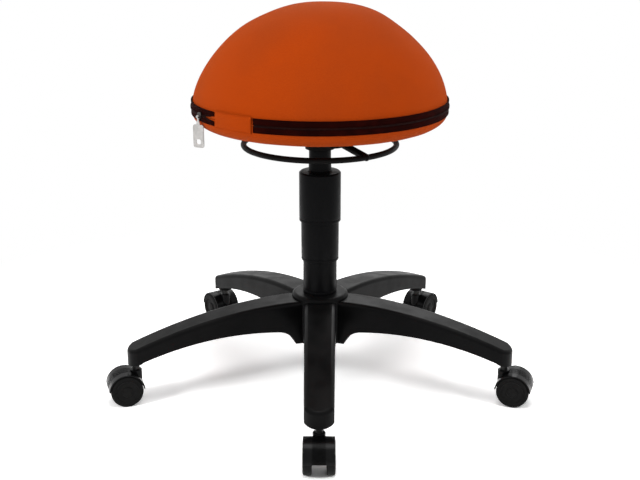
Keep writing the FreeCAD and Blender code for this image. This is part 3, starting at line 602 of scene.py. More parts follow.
def twisted_thread(name, first, second):
    """Sewing thread, with its twist and painted shade in the twist's grooves."""
    material, tree, shader = new_finish(name)
    place = add(tree, "ShaderNodeTexCoord", out="Object")
    turned = add(tree, "ShaderNodeMapping", {"Vector": place, "Rotation": (0.6, 0.7, 0.0)})
    inputs = {"Vector": turned, "Scale": 900.0, "Distortion": 1.0}
    twist = add(tree, "ShaderNodeTexWave", inputs, out="Fac")
    # Painted shade: the twist's grooves take the darker second colour.
    colour = blend_colour(tree, twist, (*second, 1), (*first, 1))
    dress(tree, shader, colour, remap(tree, twist, 0.0, 1.0, 0.8, 0.6), lift(tree, twist, 0.05 * mm), 0.06)
    return material


def cold_foam():
    """Moulded polyurethane foam with its skin of small cells, and painted shade in the cells' pits."""
    material, tree, shader = new_finish("cold_foam")
    place = add(tree, "ShaderNodeTexCoord", out="Object")
    cells = add(tree, "ShaderNodeTexVoronoi", {"Vector": place, "Scale": 520.0}, out="Distance")
    inputs = {
        "Position": place,
        "Patch size": 0.06,
        "First colour": (0.66, 0.58, 0.4, 1),
        "Second colour": (0.56, 0.47, 0.3, 1),
    }
    colour = use(tree, patchy_colour, inputs, "Colour")
    # Painted shade: the pits at the cells' middles are darkened.
    colour = blend_colour(tree, remap(tree, cells, 0.0, 0.5, 0.35, 0.0), colour, (0.32, 0.26, 0.16, 1))
    dress(tree, shader, colour, remap(tree, cells, 0.0, 1.0, 0.95, 0.85), lift(tree, cells, 0.4 * mm), 0.15)
    return material


def beech_plies():
    """Plywood: long grain on its faces and the plies' stripes on its edges."""
    material, tree, shader = new_finish("beech_plies")
    place = add(tree, "ShaderNodeTexCoord", out="Object")
    height = add(tree, "ShaderNodeSeparateXYZ", {0: place}, out="Z")
    ply = calc(tree, "PINGPONG", calc(tree, "DIVIDE", height, 1.5 * mm), 1.0)
    stretched = add(tree, "ShaderNodeMapping", {"Vector": place, "Scale": (6.0, 90.0, 90.0)})
    inputs = {"Vector": stretched, "Scale": 3.0, "Detail": 6.0, "Distortion": 0.5}
    grain = add(tree, "ShaderNodeTexNoise", inputs)
    colour = blend_colour(tree, grain, (0.36, 0.2, 0.09, 1), (0.62, 0.42, 0.23, 1))
    colour = blend_colour(tree, remap(tree, ply, 0.35, 0.65, 0.0, 0.4), colour, (0.3, 0.17, 0.08, 1))
    dress(tree, shader, colour, remap(tree, grain, 0.0, 1.0, 0.7, 0.5), lift(tree, grain, 0.1 * mm), 0.3)
    return material


# The third colour is the painted shade between the knit's loops.
orange_knit = knitted_cloth("orange_knit", (0.555, 0.072, 0.003), (0.465, 0.067, 0.006), (0.27, 0.028, 0.002))
zip_tape_weave = woven_tape("zip_tape_weave", (0.02, 0.0016, 0.0009), (0.009, 0.0008, 0.0005))
zip_nylon = hard_finish(
    "zip_nylon", (0.012, 0.0018, 0.0012), (0.008, 0.0012, 0.0009), (0.35, 0.5),
    specular=0.08, patch=0.01, grain=0.3 * mm, depth=0.01 * mm,
)
dark_thread = twisted_thread("dark_thread", (0.022, 0.003, 0.002), (0.008, 0.0012, 0.0008))
orange_thread = twisted_thread("orange_thread", (0.48, 0.06, 0.005), (0.32, 0.034, 0.003))
pull_lacquer = hard_finish(
    "pull_lacquer", (0.62, 0.6, 0.585), (0.5, 0.485, 0.47), (0.28, 0.42),
    specular=0.5, patch=0.006, grain=0.5 * mm, depth=0.008 * mm, scuffs=0.35, metallic=0.85,
)
slider_lacquer = hard_finish(
    "slider_lacquer", (0.016, 0.009, 0.008), (0.01, 0.006, 0.005), (0.3, 0.42),
    specular=0.2, patch=0.006, grain=0.5 * mm, depth=0.008 * mm, scuffs=0.3,
)
foam_skin = cold_foam()
board_wood = beech_plies()
zinc_steel = hard_finish(
    "zinc_steel", (0.55, 0.55, 0.56), (0.42, 0.43, 0.45), (0.3, 0.45),
    specular=0.5, patch=0.012, grain=0.9 * mm, depth=0.01 * mm, scuffs=0.3, metallic=1.0,
)
bright_steel = hard_finish(
    "bright_steel", (0.66, 0.66, 0.67), (0.6, 0.6, 0.62), (0.12, 0.22),
    specular=0.5, patch=0.03, grain=0.4 * mm, depth=0.003 * mm, scuffs=0.15, metallic=1.0,
)
black_powder_coat = hard_finish(
    "black_powder_coat", (0.003, 0.0026, 0.0025), (0.0022, 0.002, 0.0019), (0.4, 0.55),
    specular=0.06, patch=0.05, grain=1.6 * mm, depth=0.05 * mm, dust_and_top_light=0.01, scuffs=0.2,
)
black_oxide_steel = hard_finish(
    "black_oxide_steel", (0.03, 0.029, 0.028), (0.018, 0.018, 0.018), (0.3, 0.42),
    specular=0.3, patch=0.012, grain=0.9 * mm, depth=0.01 * mm, scuffs=0.3, metallic=0.7,
)
satin_black_tube = hard_finish(
    "satin_black_tube", (0.0028, 0.0028, 0.0032), (0.0022, 0.0022, 0.0026), (0.3, 0.42),
    specular=0.06, patch=0.06, grain=2.2 * mm, depth=0.02 * mm, scuffs=0.3,
)
mount_rubber = hard_finish(
    "mount_rubber", (0.007, 0.007, 0.007), (0.005, 0.005, 0.005), (0.7, 0.85),
    specular=0.12, patch=0.02, grain=0.6 * mm, depth=0.05 * mm, dust_and_top_light=0.04,
)
base_nylon = hard_finish(
    "base_nylon", (0.0028, 0.0028, 0.0029), (0.002, 0.002, 0.0022), (0.3, 0.42),
    specular=0.06, patch=0.07, grain=0.9 * mm, depth=0.04 * mm, dust_and_top_light=0.015, scuffs=0.25,
)
sleeve_plastic = hard_finish(
    "sleeve_plastic", (0.0028, 0.0028, 0.0031), (0.0021, 0.0021, 0.0024), (0.32, 0.44),
    specular=0.055, patch=0.05, grain=0.6 * mm, depth=0.02 * mm, dust_and_top_light=0.01, scuffs=0.2,
)
# A lighter grey for a band round the outer cover's collar: a painted highlight.
sleeve_painted_highlight = hard_finish(
    "sleeve_painted_highlight", (0.05, 0.05, 0.05), (0.04, 0.04, 0.041), (0.5, 0.6),
    specular=0.2, patch=0.02, grain=0.6 * mm, depth=0.02 * mm, dust_and_top_light=0.02,
)
hood_nylon = hard_finish(
    "hood_nylon", (0.003, 0.003, 0.0032), (0.0022, 0.0022, 0.0024), (0.18, 0.26),
    specular=0.1, patch=0.03, grain=0.7 * mm, depth=0.012 * mm, dust_and_top_light=0.01, scuffs=0.2,
)
wheel_nylon = hard_finish(
    "wheel_nylon", (0.0035, 0.0035, 0.0038), (0.0026, 0.0026, 0.0028), (0.26, 0.36),
    specular=0.07, patch=0.03, grain=0.7 * mm, depth=0.015 * mm, dust_and_top_light=0.01, scuffs=0.2,
)
wheel_tread = hard_finish(
    "wheel_tread", (0.006, 0.0058, 0.0056), (0.004, 0.004, 0.004), (0.5, 0.65),
    specular=0.08, patch=0.008, grain=0.5 * mm, depth=0.04 * mm, scuffs=0.5,
)
bush_acetal = hard_finish(
    "bush_acetal", (0.52, 0.5, 0.44), (0.46, 0.44, 0.38), (0.35, 0.45),
    specular=0.4, patch=0.03, grain=0.6 * mm, depth=0.01 * mm, scuffs=0.2,
)


# ---- Seat cloth
def cloth_grid(rows, along, whole):
    """A round skin from rings of points, each ring given as a list of one point per column.
    Its UV maps are in metres: weave lays the cloth out flat round its middle, and seam has the
    way round the rim in U and the way from it, along, in V."""
    shape = bmesh.new()
    weave = shape.loops.layers.uv.new("weave")
    seam = shape.loops.layers.uv.new("seam")
    rings = [[shape.verts.new(p) for p in ring] for ring in rows]
    for i in range(len(rings) - 1):
        for j in range(dome_columns):
            k = (j + 1) % dome_columns
            corners = [(i, j, j), (i, k, j + 1), (i + 1, k, j + 1), (i + 1, j, j)]
            vertices = []
            places = []
            for row, column, turn in corners:
                vertex = rings[row][column if len(rings[row]) > 1 else 0]
                if vertex not in vertices:
                    vertices.append(vertex)
                    places.append((row, 2 * math.pi * turn / dome_columns))
            face = shape.faces.new(vertices)
            for loop, (row, turn) in zip(face.loops, places):
                from_middle = whole - along[row]
                loop[weave].uv = (from_middle * math.cos(turn), from_middle * math.sin(turn))
                loop[seam].uv = (rim_radius * turn, along[row])
    return shape


def swollen(obj, held, pressure, most):
    """Let cloth swell as it does round its filling, held along an edge, and keep the result."""
    settings_scene = bpy.context.scene
    before = [v.co.copy() for v in obj.data.vertices]
    group = obj.vertex_groups.new(name="held")
    group.add(held, 1.0, "REPLACE")
    cloth = obj.modifiers.new("filling", "CLOTH")
    cloth.settings.vertex_group_mass = group.name
    cloth.settings.use_pressure = True
    cloth.settings.uniform_pressure_force = pressure
    cloth.settings.effector_weights.gravity = 0.0
    cloth.settings.quality = 6
    cloth.collision_settings.use_collision = False
    cloth.point_cache.frame_start = 1
    cloth.point_cache.frame_end = 20
    for number in range(1, 21):
        settings_scene.frame_set(number)
    settled = obj.evaluated_get(bpy.context.evaluated_depsgraph_get())
    after = [v.co.copy() for v in settled.data.vertices]
    obj.modifiers.remove(cloth)
    obj.vertex_groups.remove(group)
    settings_scene.frame_set(1)
    for vertex, start, end in zip(obj.data.vertices, before, after):
        way = end - start
        vertex.co = start + way * min(1.0, most / max(way.length, 1e-9))


def dome_point(rise):
    """Radius and height on the dome for a share of its height."""
    radius = rim_radius * (1 - min(rise, 1.0) ** dome_rise_power) ** (1 / dome_plan_power)
    return radius, rim_height + dome_height * rise


def unevenness(point):
    """The small swellings and hollows of a hand-pulled cover, from -1 to 1."""
    return noise.noise(point * 11.0) + 0.5 * noise.noise(point * 27.0)


def seat_dome_cloth():
    """The cover over the half ball: filled by cloth simulation, then gathered along the zip."""
    profile = [dome_point(math.sin(math.pi / 2 * i / dome_rows)) for i in range(dome_rows)]
    profile.append((0.0, crown_height))
    along = lengths_along(profile)
    rows = []
    for i, (radius, height) in enumerate(profile):
        loose = cloth_slack
        slack = loose * math.sin(2 * math.pi * min(along[i] / along[-1], 0.75))
        below = profile[max(i - 1, 0)]
        above = profile[min(i + 1, dome_rows)]
        slope = Vector((above[1] - below[1], below[0] - above[0])).normalized()
        radius -= slope.x * slack
        height -= slope.y * slack
        turns = dome_columns if i < dome_rows else 1
        angles = [2 * math.pi * j / dome_columns for j in range(turns)]
        rows.append([(radius * math.cos(a), radius * math.sin(a), height) for a in angles])
    whole = along[-1]
    shape = cloth_grid(rows, along, whole)
    cloth = piece("seat_dome_cloth", shape, "seat", orange_knit, "orange_cloth", sharp=180.0)
    swollen(cloth, list(range(dome_columns)), cloth_pressure, cloth_swell)
    for vertex in cloth.data.vertices:
        point = vertex.co.copy()
        up = smooth_step(point.z, rim_height, rim_height + pucker_reach)
        outward = Vector((point.x, point.y, 0.0)).normalized()
        turn = Vector((outward.x, outward.y, 0.0)) * 9.0
        gather = noise.noise(turn + Vector((3.1, 0.0, 0.0))) + 0.6 * noise.noise(turn * 2.3)
        free = smooth_step(point.z, tape_top - 1.0 * mm, tape_top + 5.0 * mm)
        vertex.co += outward * pucker_depth * gather * (1 - up) * free
        vertex.co -= outward * cloth_pinch * (1 - free)
        normal = Vector((point.x, point.y, max(point.z - rim_height, 0.0) * 1.3)).normalized()
        vertex.co += normal * dome_unevenness * unevenness(point) * up
        rise = (point.z - rim_height) / dome_height
        vertex.co.x += dome_lean * smooth_step(rise, 0.0, 0.5) + crown_lean * smooth_step(rise, 0.74, 0.96)
    finish_cloth(cloth)
    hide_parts("seat_cover")


def finish_cloth(cloth):
    """One subdivision and the cloth's own thickness, inwards."""
    smoother = cloth.modifiers.new("smoother", "SUBSURF")
    smoother.levels = 1
    smoother.render_levels = 1
    wall = cloth.modifiers.new("cloth thickness", "SOLIDIFY")
    wall.thickness = cloth_thickness
    wall.offset = -1.0


def seat_under_cloth():
    """The same cloth under the rim, pulled in to its hem round the tilt mechanism."""
    low = rim_height - 0.6 * mm
    rim_low = underside_height + bowl_depth
    edge_radius = rim_radius - cloth_pinch
    profile = [(edge_radius, low), (edge_radius, (low + rim_low) / 2)]
    for i in range(underside_rows + 1):
        angle = math.radians(90.0 * (1 - i / underside_rows))
        radius = bowl_flat_radius + (edge_radius - bowl_flat_radius) * math.sin(angle)
        profile.append((radius, rim_low - bowl_depth * math.cos(angle)))
    flat_steps = 8
    for i in range(1, flat_steps + 1):
        radius = bowl_flat_radius + (hem_radius - bowl_flat_radius) * i / flat_steps
        profile.append((radius, underside_height))
    along = lengths_along(profile)
    whole = along[-1] + hem_radius
    rows = []
    for i, (radius, height) in enumerate(profile):
        ring = []
        for j in range(dome_columns):
            angle = 2 * math.pi * j / dome_columns
            gather = noise.noise(Vector((math.cos(angle), math.sin(angle), 0.4)) * 9.0)
            fade = smooth_step(along[i], 10 * mm, 30 * mm)
            fade *= 1 - smooth_step(radius, 95 * mm, 130 * mm) * 0.5
            tucked = smooth_step(radius, 92 * mm, 110 * mm)
            rise = 0.5 * mm * (1 + gather) * fade * tucked
            ring.append((radius * math.cos(angle), radius * math.sin(angle), height + rise))
        rows.append(ring)
    shape = cloth_grid(rows, along, whole)
    bmesh.ops.reverse_faces(shape, faces=shape.faces)
    cloth = piece("seat_under_cloth", shape, "seat", orange_knit, "orange_cloth", sharp=180.0)
    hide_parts("seat_cover_base")
    finish_cloth(cloth)


# ---- Zip
def zip_opening(angle):
    """How far the two tapes stand apart at an angle round the rim, in metres.
    They part only from the slider to the closure tab."""
    turn = (angle - slider_angle) % 360.0
    open_way = tab_start_angle - slider_angle
    spread = smooth_step(turn, 2.0, open_way) if turn < open_way + 1.0 else 0.0
    return tape_parting + (tape_opening - tape_parting) * spread


def tape_half(side):
    """The upper (1) or lower (-1) tape: woven, with a thicker selvedge, sewn to the cloth."""
    shape = bmesh.new()
    weave = shape.loops.layers.uv.new("weave")
    start, end = tab_end_angle, tab_start_angle + 360.0
    steps = 340
    far = tape_top if side > 0 else tape_bottom
    shares = [0.0, 0.04, 0.14, 0.2, 0.26, 0.5, 0.75, 0.92, 1.0]
    thick = [0.55, 1.0, 1.0, 0.62, 0.8, 0.85, 0.85, 0.9, 0.55]
    rings = []
    for i in range(steps + 1):
        angle = start + (end - start) * i / steps
        a = math.radians(angle)
        near = tape_middle + side * zip_opening(angle) / 2
        drift = 0.12 * mm * noise.noise(Vector((math.cos(a), math.sin(a), side)) * 14.0)
        outer = []
        for share, part in zip(shares, thick):
            outer.append((rim_radius + tape_thickness * part + drift, far + (near - far) * share))
        inner = [(rim_radius + sewn_gap, z) for _, z in reversed(outer)]
        section = outer + inner
        rings.append([(r * math.cos(a), r * math.sin(a), z) for r, z in section])
    arc_step = math.radians(end - start) / steps * rim_radius
    made = [[shape.verts.new(p) for p in ring] for ring in rings]
    count = len(made[0])
    for i in range(steps):
        for j in range(count):
            k = (j + 1) % count
            face = shape.faces.new((made[i][j], made[i + 1][j], made[i + 1][k], made[i][k]))
            for loop, (ring, place) in zip(face.loops, ((i, j), (i + 1, j), (i + 1, k), (i, k))):
                loop[weave].uv = (ring * arc_step, rings[ring][place][2])
    shape.faces.new(made[0])
    shape.faces.new(made[-1])
    bmesh.ops.recalc_face_normals(shape, faces=shape.faces)
    return shape


def zip_tape_woven():
    """Both tapes as one piece."""
    halves = joined([tape_half(1), tape_half(-1)])
    piece("zip_tape_woven", halves, "seat", zip_tape_weave, "zip_cloth", "zip_tape", sharp=50.0)


def rim_places(tree, source, count, phase, height):
    """Points and their turns round the rim: the points' geometry and a rotation for each."""
    line = add(tree, "GeometryNodeMeshLine", {"Count": count, "Offset": (0.0, 0.0, 0.0)})
    index = add(tree, "GeometryNodeInputIndex")
    step = calc(tree, "DIVIDE", source["Pitch"], source["Radius"])
    start = calc(tree, "RADIANS", source["Start angle"])
    angle = calc(tree, "MULTIPLY_ADD", calc(tree, "ADD", index, phase), step, start)
    x = calc(tree, "MULTIPLY", calc(tree, "COSINE", angle), source["Radius"])
    y = calc(tree, "MULTIPLY", calc(tree, "SINE", angle), source["Radius"])
    z = height(angle)
    place = add(tree, "ShaderNodeCombineXYZ", {0: x, 1: y, 2: z})
    points = add(tree, "GeometryNodeSetPosition", {"Geometry": line, "Position": place})
    return points, angle


def rim_count(tree, source):
    """How many steps of the pitch fit between the two angles."""
    span = calc(tree, "RADIANS", calc(tree, "SUBTRACT", source["End angle"], source["Start angle"]))
    arc_length = calc(tree, "MULTIPLY", span, source["Radius"])
    return calc(tree, "FLOOR", calc(tree, "DIVIDE", arc_length, source["Pitch"]))


def bead(tree, across, along, tall):
    """A rounded bead of a few faces, with its three sizes."""
    ball = add(tree, "GeometryNodeMeshUVSphere", {"Segments": 6, "Rings": 4, "Radius": 0.5})
    size = add(tree, "ShaderNodeCombineXYZ", {0: across, 1: along, 2: tall})
    return add(tree, "GeometryNodeTransform", {"Geometry": ball, "Scale": size})


def make_zip_teeth_tree():
    """Two rows of teeth that mesh where the zip is closed and part where it is open."""
    tree, source, sink = new_group(
        "Zip teeth",
        {
            "Radius": 0.1957, "Middle height": 0.448, "Start angle": 0.0, "End angle": 90.0, "Pitch": 0.0016,
            "Tooth length": 0.0029, "Tooth width": 0.001, "Tooth depth": 0.0009, "Row offset": 0.0005,
            "Opening": 0.007, "Opening start angle": 60.0,
        },
        {"Geometry": "NodeSocketGeometry"},
        "GeometryNodeTree",
    )
    count = rim_count(tree, source)
    tooth = bead(tree, source["Tooth depth"], source["Tooth width"], source["Tooth length"])
    rows = tree.nodes.new("GeometryNodeJoinGeometry")
    for side, phase in ((1.0, 0.0), (-1.0, 0.5)):

        def height(angle):
            first = calc(tree, "RADIANS", source["Opening start angle"])
            last = calc(tree, "RADIANS", source["End angle"])
            half_opening = calc(tree, "DIVIDE", source["Opening"], 2.0)
            apart = remap(tree, angle, first, last, 0.0, half_opening)
            offset = calc(tree, "ADD", apart, source["Row offset"])
            return calc(tree, "MULTIPLY_ADD", offset, side, source["Middle height"])

        points, angle = rim_places(tree, source, count, phase, height)
        euler = add(tree, "ShaderNodeCombineXYZ", {0: 0.25 * side, 2: angle})
        rotation = add(tree, "FunctionNodeEulerToRotation", {0: euler})
        inputs = {"Points": points, "Instance": tooth, "Rotation": rotation}
        tree.links.new(add(tree, "GeometryNodeInstanceOnPoints", inputs), rows.inputs[0])
    finish_pattern(tree, rows.outputs[0], sink)
    return tree


def finish_pattern(tree, geometry, sink):
    """Realize the copies and give them a material slot."""
    real = add(tree, "GeometryNodeRealizeInstances", {0: geometry})
    shown = add(tree, "GeometryNodeSetMaterial", {"Geometry": real, "Material": zip_nylon})
    tree.links.new(shown, sink["Geometry"])


def make_stitch_tree():
    """A row of stitches round the rim, each a little differently laid."""
    tree, source, sink = new_group(
        "Row of stitches",
        {
            "Radius": 0.195, "Height": 0.45, "Start angle": 0.0, "End angle": 90.0, "Pitch": 0.0032,
            "Stitch length": 0.0023, "Stitch width": 0.0005, "Tilt": 0.12, "Seed": 1,
        },
        {"Geometry": "NodeSocketGeometry"},
        "GeometryNodeTree",
    )
    count = rim_count(tree, source)
    points, angle = rim_places(tree, source, count, 0.5, lambda angle: source["Height"])
    stitch = bead(tree, source["Stitch width"], source["Stitch length"], source["Stitch width"])
    spread = calc(tree, "MULTIPLY", source["Tilt"], -1.0)
    inputs = {2: spread, 3: source["Tilt"], "Seed": source["Seed"]}
    tilt = add(tree, "FunctionNodeRandomValue", inputs, out=1, data_type="FLOAT")
    euler = add(tree, "ShaderNodeCombineXYZ", {0: tilt, 2: angle})
    rotation = add(tree, "FunctionNodeEulerToRotation", {0: euler})
    inputs = {"Points": points, "Instance": stitch, "Rotation": rotation}
    finish_pattern(tree, add(tree, "GeometryNodeInstanceOnPoints", inputs), sink)
    return tree


def grown(tree, sizes):
    """Run a pattern tree with its sizes and return the mesh that it makes."""
    carrier = bpy.data.objects.new("pattern", bpy.data.meshes.new("pattern"))
    bpy.context.scene.collection.objects.link(carrier)
    pattern = carrier.modifiers.new("pattern", "NODES")
    pattern.node_group = tree
    for item in tree.interface.items_tree:
        if item.item_type == "SOCKET" and item.in_out == "INPUT" and item.name in sizes:
            pattern[item.identifier] = sizes[item.name]
    settled = carrier.evaluated_get(bpy.context.evaluated_depsgraph_get())
    mesh = bpy.data.meshes.new_from_object(settled)
    bpy.data.objects.remove(carrier)
    return mesh


def zip_teeth():
    """The zip's teeth, grown round the rim."""
    sizes = {
        "Radius": coil_radius - tooth_depth / 2 - 0.05 * mm,
        "Middle height": tape_middle,
        "Start angle": tab_end_angle + 0.8,
        "End angle": tab_start_angle + 359.2,
        "Pitch": tooth_pitch,
        "Tooth length": tooth_length,
        "Tooth width": tooth_width,
        "Tooth depth": tooth_depth,
        "Row offset": 0.55 * mm,
        "Opening": tape_opening - tape_parting,
        "Opening start angle": slider_angle + 362.0,
    }
    teeth = grown(make_zip_teeth_tree(), sizes)
    piece("zip_teeth", teeth, "seat", zip_nylon, "zip_plastic", "zip_coil", sharp=180.0)


def stitch_row(tree, radius, height, start, end, seed):
    """One row of stitches as a bmesh."""
    sizes = {
        "Radius": radius, "Height": height, "Start angle": start, "End angle": end, "Pitch": stitch_pitch,
        "Stitch length": stitch_length, "Stitch width": stitch_width, "Seed": seed,
    }
    mesh = grown(tree, sizes)
    shape = bmesh.new()
    shape.from_mesh(mesh)
    bpy.data.meshes.remove(mesh)
    return shape


def tape_stitches():
    """Rows along both edges of the tape, and along both edges of the closure tab."""
    tree = make_stitch_tree()
    start, end = tab_end_angle + 0.6, tab_start_angle + 359.4
    radius = rim_radius + tape_thickness * 0.82
    rows = [
        stitch_row(tree, radius, tape_top - stitch_inset, start, end, 1),
        stitch_row(tree, radius, tape_bottom + stitch_inset, start, end, 2),
    ]
    piece("tape_stitches", joined(rows), "seat", dark_thread, "zip_cloth", sharp=180.0)
    start, end = tab_start_angle + 1.6, tab_end_angle - 1.6
    radius = rim_radius + tab_thickness + 0.02 * mm
    rows = [
        stitch_row(tree, radius, tab_top - stitch_inset, start, end, 3),
        stitch_row(tree, radius, tab_bottom + stitch_inset, start, end, 4),
    ]
    piece("tab_stitches", joined(rows), "seat", orange_thread, "orange_cloth", sharp=180.0)


def closure_tab_cloth():
    """The hemmed cloth tab over the zip's ends, softly domed, flat at its sewn edges."""
    start, end = tab_start_angle + 0.8, tab_end_angle - 0.8
    arc_length = math.radians(end - start) * rim_radius
    across, up = 44, 26
    shape = bmesh.new()
    weave = shape.loops.layers.uv.new("weave")
    seam = shape.loops.layers.uv.new("seam")

    def point(i, j, outer):
        s, t = i / across, j / up
        edge = min(s, 1 - s) * arc_length
        edge = min(edge, min(t, 1 - t) * (tab_top - tab_bottom))
        soft = smooth_step(edge, -0.6 * mm, 1.2 * mm)
        sewn = 1 - 0.35 * math.exp(-((edge - stitch_inset) / (0.7 * mm)) ** 2)
        crown = 0.35 * mm * smooth_step(edge, 3 * mm, 8 * mm)
        corner = 1.6 * mm * (1 - soft)
        height = tab_bottom + corner + (tab_top - tab_bottom - 2 * corner) * t
        angle = math.radians(start + (end - start) * s)
        radius = rim_radius + sewn_gap
        if outer:
            radius += tab_thickness * soft * sewn + crown
        return (radius * math.cos(angle), radius * math.sin(angle), height)

    sheets = []
    for outer in (True, False):
        columns = []
        for i in range(across + 1):
            columns.append([shape.verts.new(point(i, j, outer)) for j in range(up + 1)])
        sheets.append(columns)
    for sheet in sheets:
        for i in range(across):
            for j in range(up):
                face = shape.faces.new((sheet[i][j], sheet[i + 1][j], sheet[i + 1][j + 1], sheet[i][j + 1]))
                for loop, (u, v) in zip(face.loops, ((i, j), (i + 1, j), (i + 1, j + 1), (i, j + 1))):
                    place = (u / across * arc_length, v / up * (tab_top - tab_bottom))
                    loop[weave].uv = place
                    loop[seam].uv = (place[0], 0.05 + place[1])
    border = [(i, 0) for i in range(across)] + [(across, j) for j in range(up)]
    border += [(i, up) for i in range(across, 0, -1)] + [(0, j) for j in range(up, 0, -1)]
    outer, inner = sheets
    for (i, j), (k, m) in zip(border, border[1:] + border[:1]):
        shape.faces.new((outer[i][j], outer[k][m], inner[k][m], inner[i][j]))
    bmesh.ops.recalc_face_normals(shape, faces=shape.faces)
    piece("closure_tab_cloth", shape, "seat", orange_knit, "orange_cloth", "closure_tab", sharp=180.0)


def rod(points, radius, sides=12):
    """A round rod along a path of points, with closed ends."""
    rings = []
    path = [Vector(p) for p in points]
    for i, middle in enumerate(path):
        way = (path[min(i + 1, len(path) - 1)] - path[max(i - 1, 0)]).normalized()
        side = way.cross(Vector((0.0, 0.0, 1.0)))
        side = side.normalized() if side.length > 1e-6 else Vector((1.0, 0.0, 0.0))
        over = side.cross(way)
        angles = [2 * math.pi * j / sides for j in range(sides)]
        rings.append([middle + (side * math.cos(a) + over * math.sin(a)) * radius for a in angles])
    return skinned(rings)


def zip_slider_body():
    """Slider: a shield-shaped plate over the teeth, folded flanges and the bridge for its pull.
    Built with the zip's way along X and outwards along Y."""
    plate_in = coil_radius + 0.2 * mm
    plate_out = plate_in + 1.5 * mm
    half = slider_length / 2
    front = slider_front_width / 2
    back = slider_back_width / 2
    outline = [
        (-half, tape_middle - front * 0.72),
        (-half * 0.55, tape_middle - front),
        (half * 0.7, tape_middle - back),
        (half, tape_middle - back * 0.7),
        (half, tape_middle + back * 0.7),
        (half * 0.7, tape_middle + back),
        (-half * 0.55, tape_middle + front),
        (-half, tape_middle + front * 0.72),
    ]
    plate = pushed_shape(rounded(outline, 1.2 * mm), plate_in, plate_out)
    shapes = [plate]
    for side in (-1, 1):
        flange = [
            (-half * 0.5, tape_middle + side * (front - 0.9 * mm)),
            (half * 0.66, tape_middle + side * (back - 0.9 * mm)),
            (half * 0.66, tape_middle + side * back),
            (-half * 0.5, tape_middle + side * front),
        ]
        flange = rounded(flange, 0.3 * mm)
        shapes.append(pushed_shape(flange, rim_radius + tape_thickness, plate_out - 0.3 * mm))
    low, high = plate_out - 0.5 * mm, pull_pin_reach
    bridge = [(-4.9 * mm, low), (-4.9 * mm, low + 0.7 * mm), (-4.5 * mm, high - 0.3 * mm), (-3.7 * mm, high)]
    bridge += [(-x, y) for x, y in reversed(bridge)]
    shapes.append(rod([(x, y, pull_pin_height) for x, y in bridge], 1.1 * mm))
    slider = set_out(joined(shapes), slider_angle - 90.0)
    slider = piece("zip_slider_body", slider, "zip_slider", slider_lacquer, "slider_metal", "zip_slider")
    eased(slider, 0.2 * mm)


def plate_with_hole(outer, inner, low, high):
    """A flat plate in X and Z between two Y values, with a hole; both outlines have equal counts."""
    edges = ((outer, low), (inner, low), (inner, high), (outer, high))
    return skinned([[(x, y, z) for x, z in outline] for outline, y in edges], looped=True)


def twisted_neck(top, foot, half_thickness):
    """The pull's neck, which twists from the eye down to the plate."""
    rings = []
    steps = 8
    for i in range(steps + 1):
        share = i / steps
        half = pull_neck_width / 2 * (0.8 + 0.2 * share)
        turn = Matrix.Rotation(math.radians(pull_twist) * smooth_step(share, 0.1, 0.9), 4, "Z")
        height = top + (foot - top) * share
        corners = [(x * half, y * half_thickness) for x, y in ((-1, -1), (1, -1), (1, 1), (-1, 1))]
        rings.append([turn @ Vector((x, y, height)) for x, y in corners])
    return set_out(skinned(rings), y=pull_pin_reach)


def zip_pull_tab():
    """Flat cast pull with a slot, a raised rim and an eye round the slider's bridge."""
    thick = pull_thickness / 2
    bottom = pull_pin_height - pull_length
    shoulder = pull_pin_height - pull_neck_length
    half = pull_width / 2
    neck = pull_neck_width / 2

    def frame_outline(inset, radius):
        points = [(-half + inset, bottom + inset), (half - inset, bottom + inset)]
        points += [(half - inset, shoulder - inset), (-half + inset, shoulder - inset)]
        return rounded(points, radius, 6)

    slot = [(-half * 0.4, bottom + 5.0 * mm), (half * 0.4, bottom + 5.0 * mm)]
    slot += [(half * 0.4, bottom + 12.5 * mm), (-half * 0.4, bottom + 12.5 * mm)]
    edge = frame_outline(0.0, pull_corner)
    plate = joined(
        [
            plate_with_hole(edge, rounded(slot, 2.4 * mm, 6), 0.2 * mm - thick, thick - 0.2 * mm),
            plate_with_hole(edge, frame_outline(1.4 * mm, pull_corner - 1.2 * mm), -thick, thick),
        ]
    )
    plate.transform(Matrix.Rotation(math.radians(pull_twist), 4, "Z"))
    shapes = [set_out(plate, y=pull_pin_reach)]
    shapes.append(twisted_neck(pull_pin_height - 1.6 * mm, shoulder - 1.0 * mm, thick))
    eye_bore, eye_out = 1.35 * mm, 2.35 * mm
    section = [(eye_bore, -neck * 0.9), (eye_out, -neck * 0.9), (eye_out, neck * 0.9), (eye_bore, neck * 0.9)]
    eye = turned_shape(rounded(section, 0.3 * mm, 2), 24)
    eye.transform(Matrix.Rotation(math.radians(90), 4, "Y"))
    shapes.append(set_out(eye, 0.0, 0.0, pull_pin_reach, pull_pin_height))
    pull = set_out(joined(shapes), slider_angle - 90.0)
    pull = piece("zip_pull_tab", pull, "zip_pull", pull_lacquer, "pull_metal", "zip_pull")
    eased(pull, 0.2 * mm)


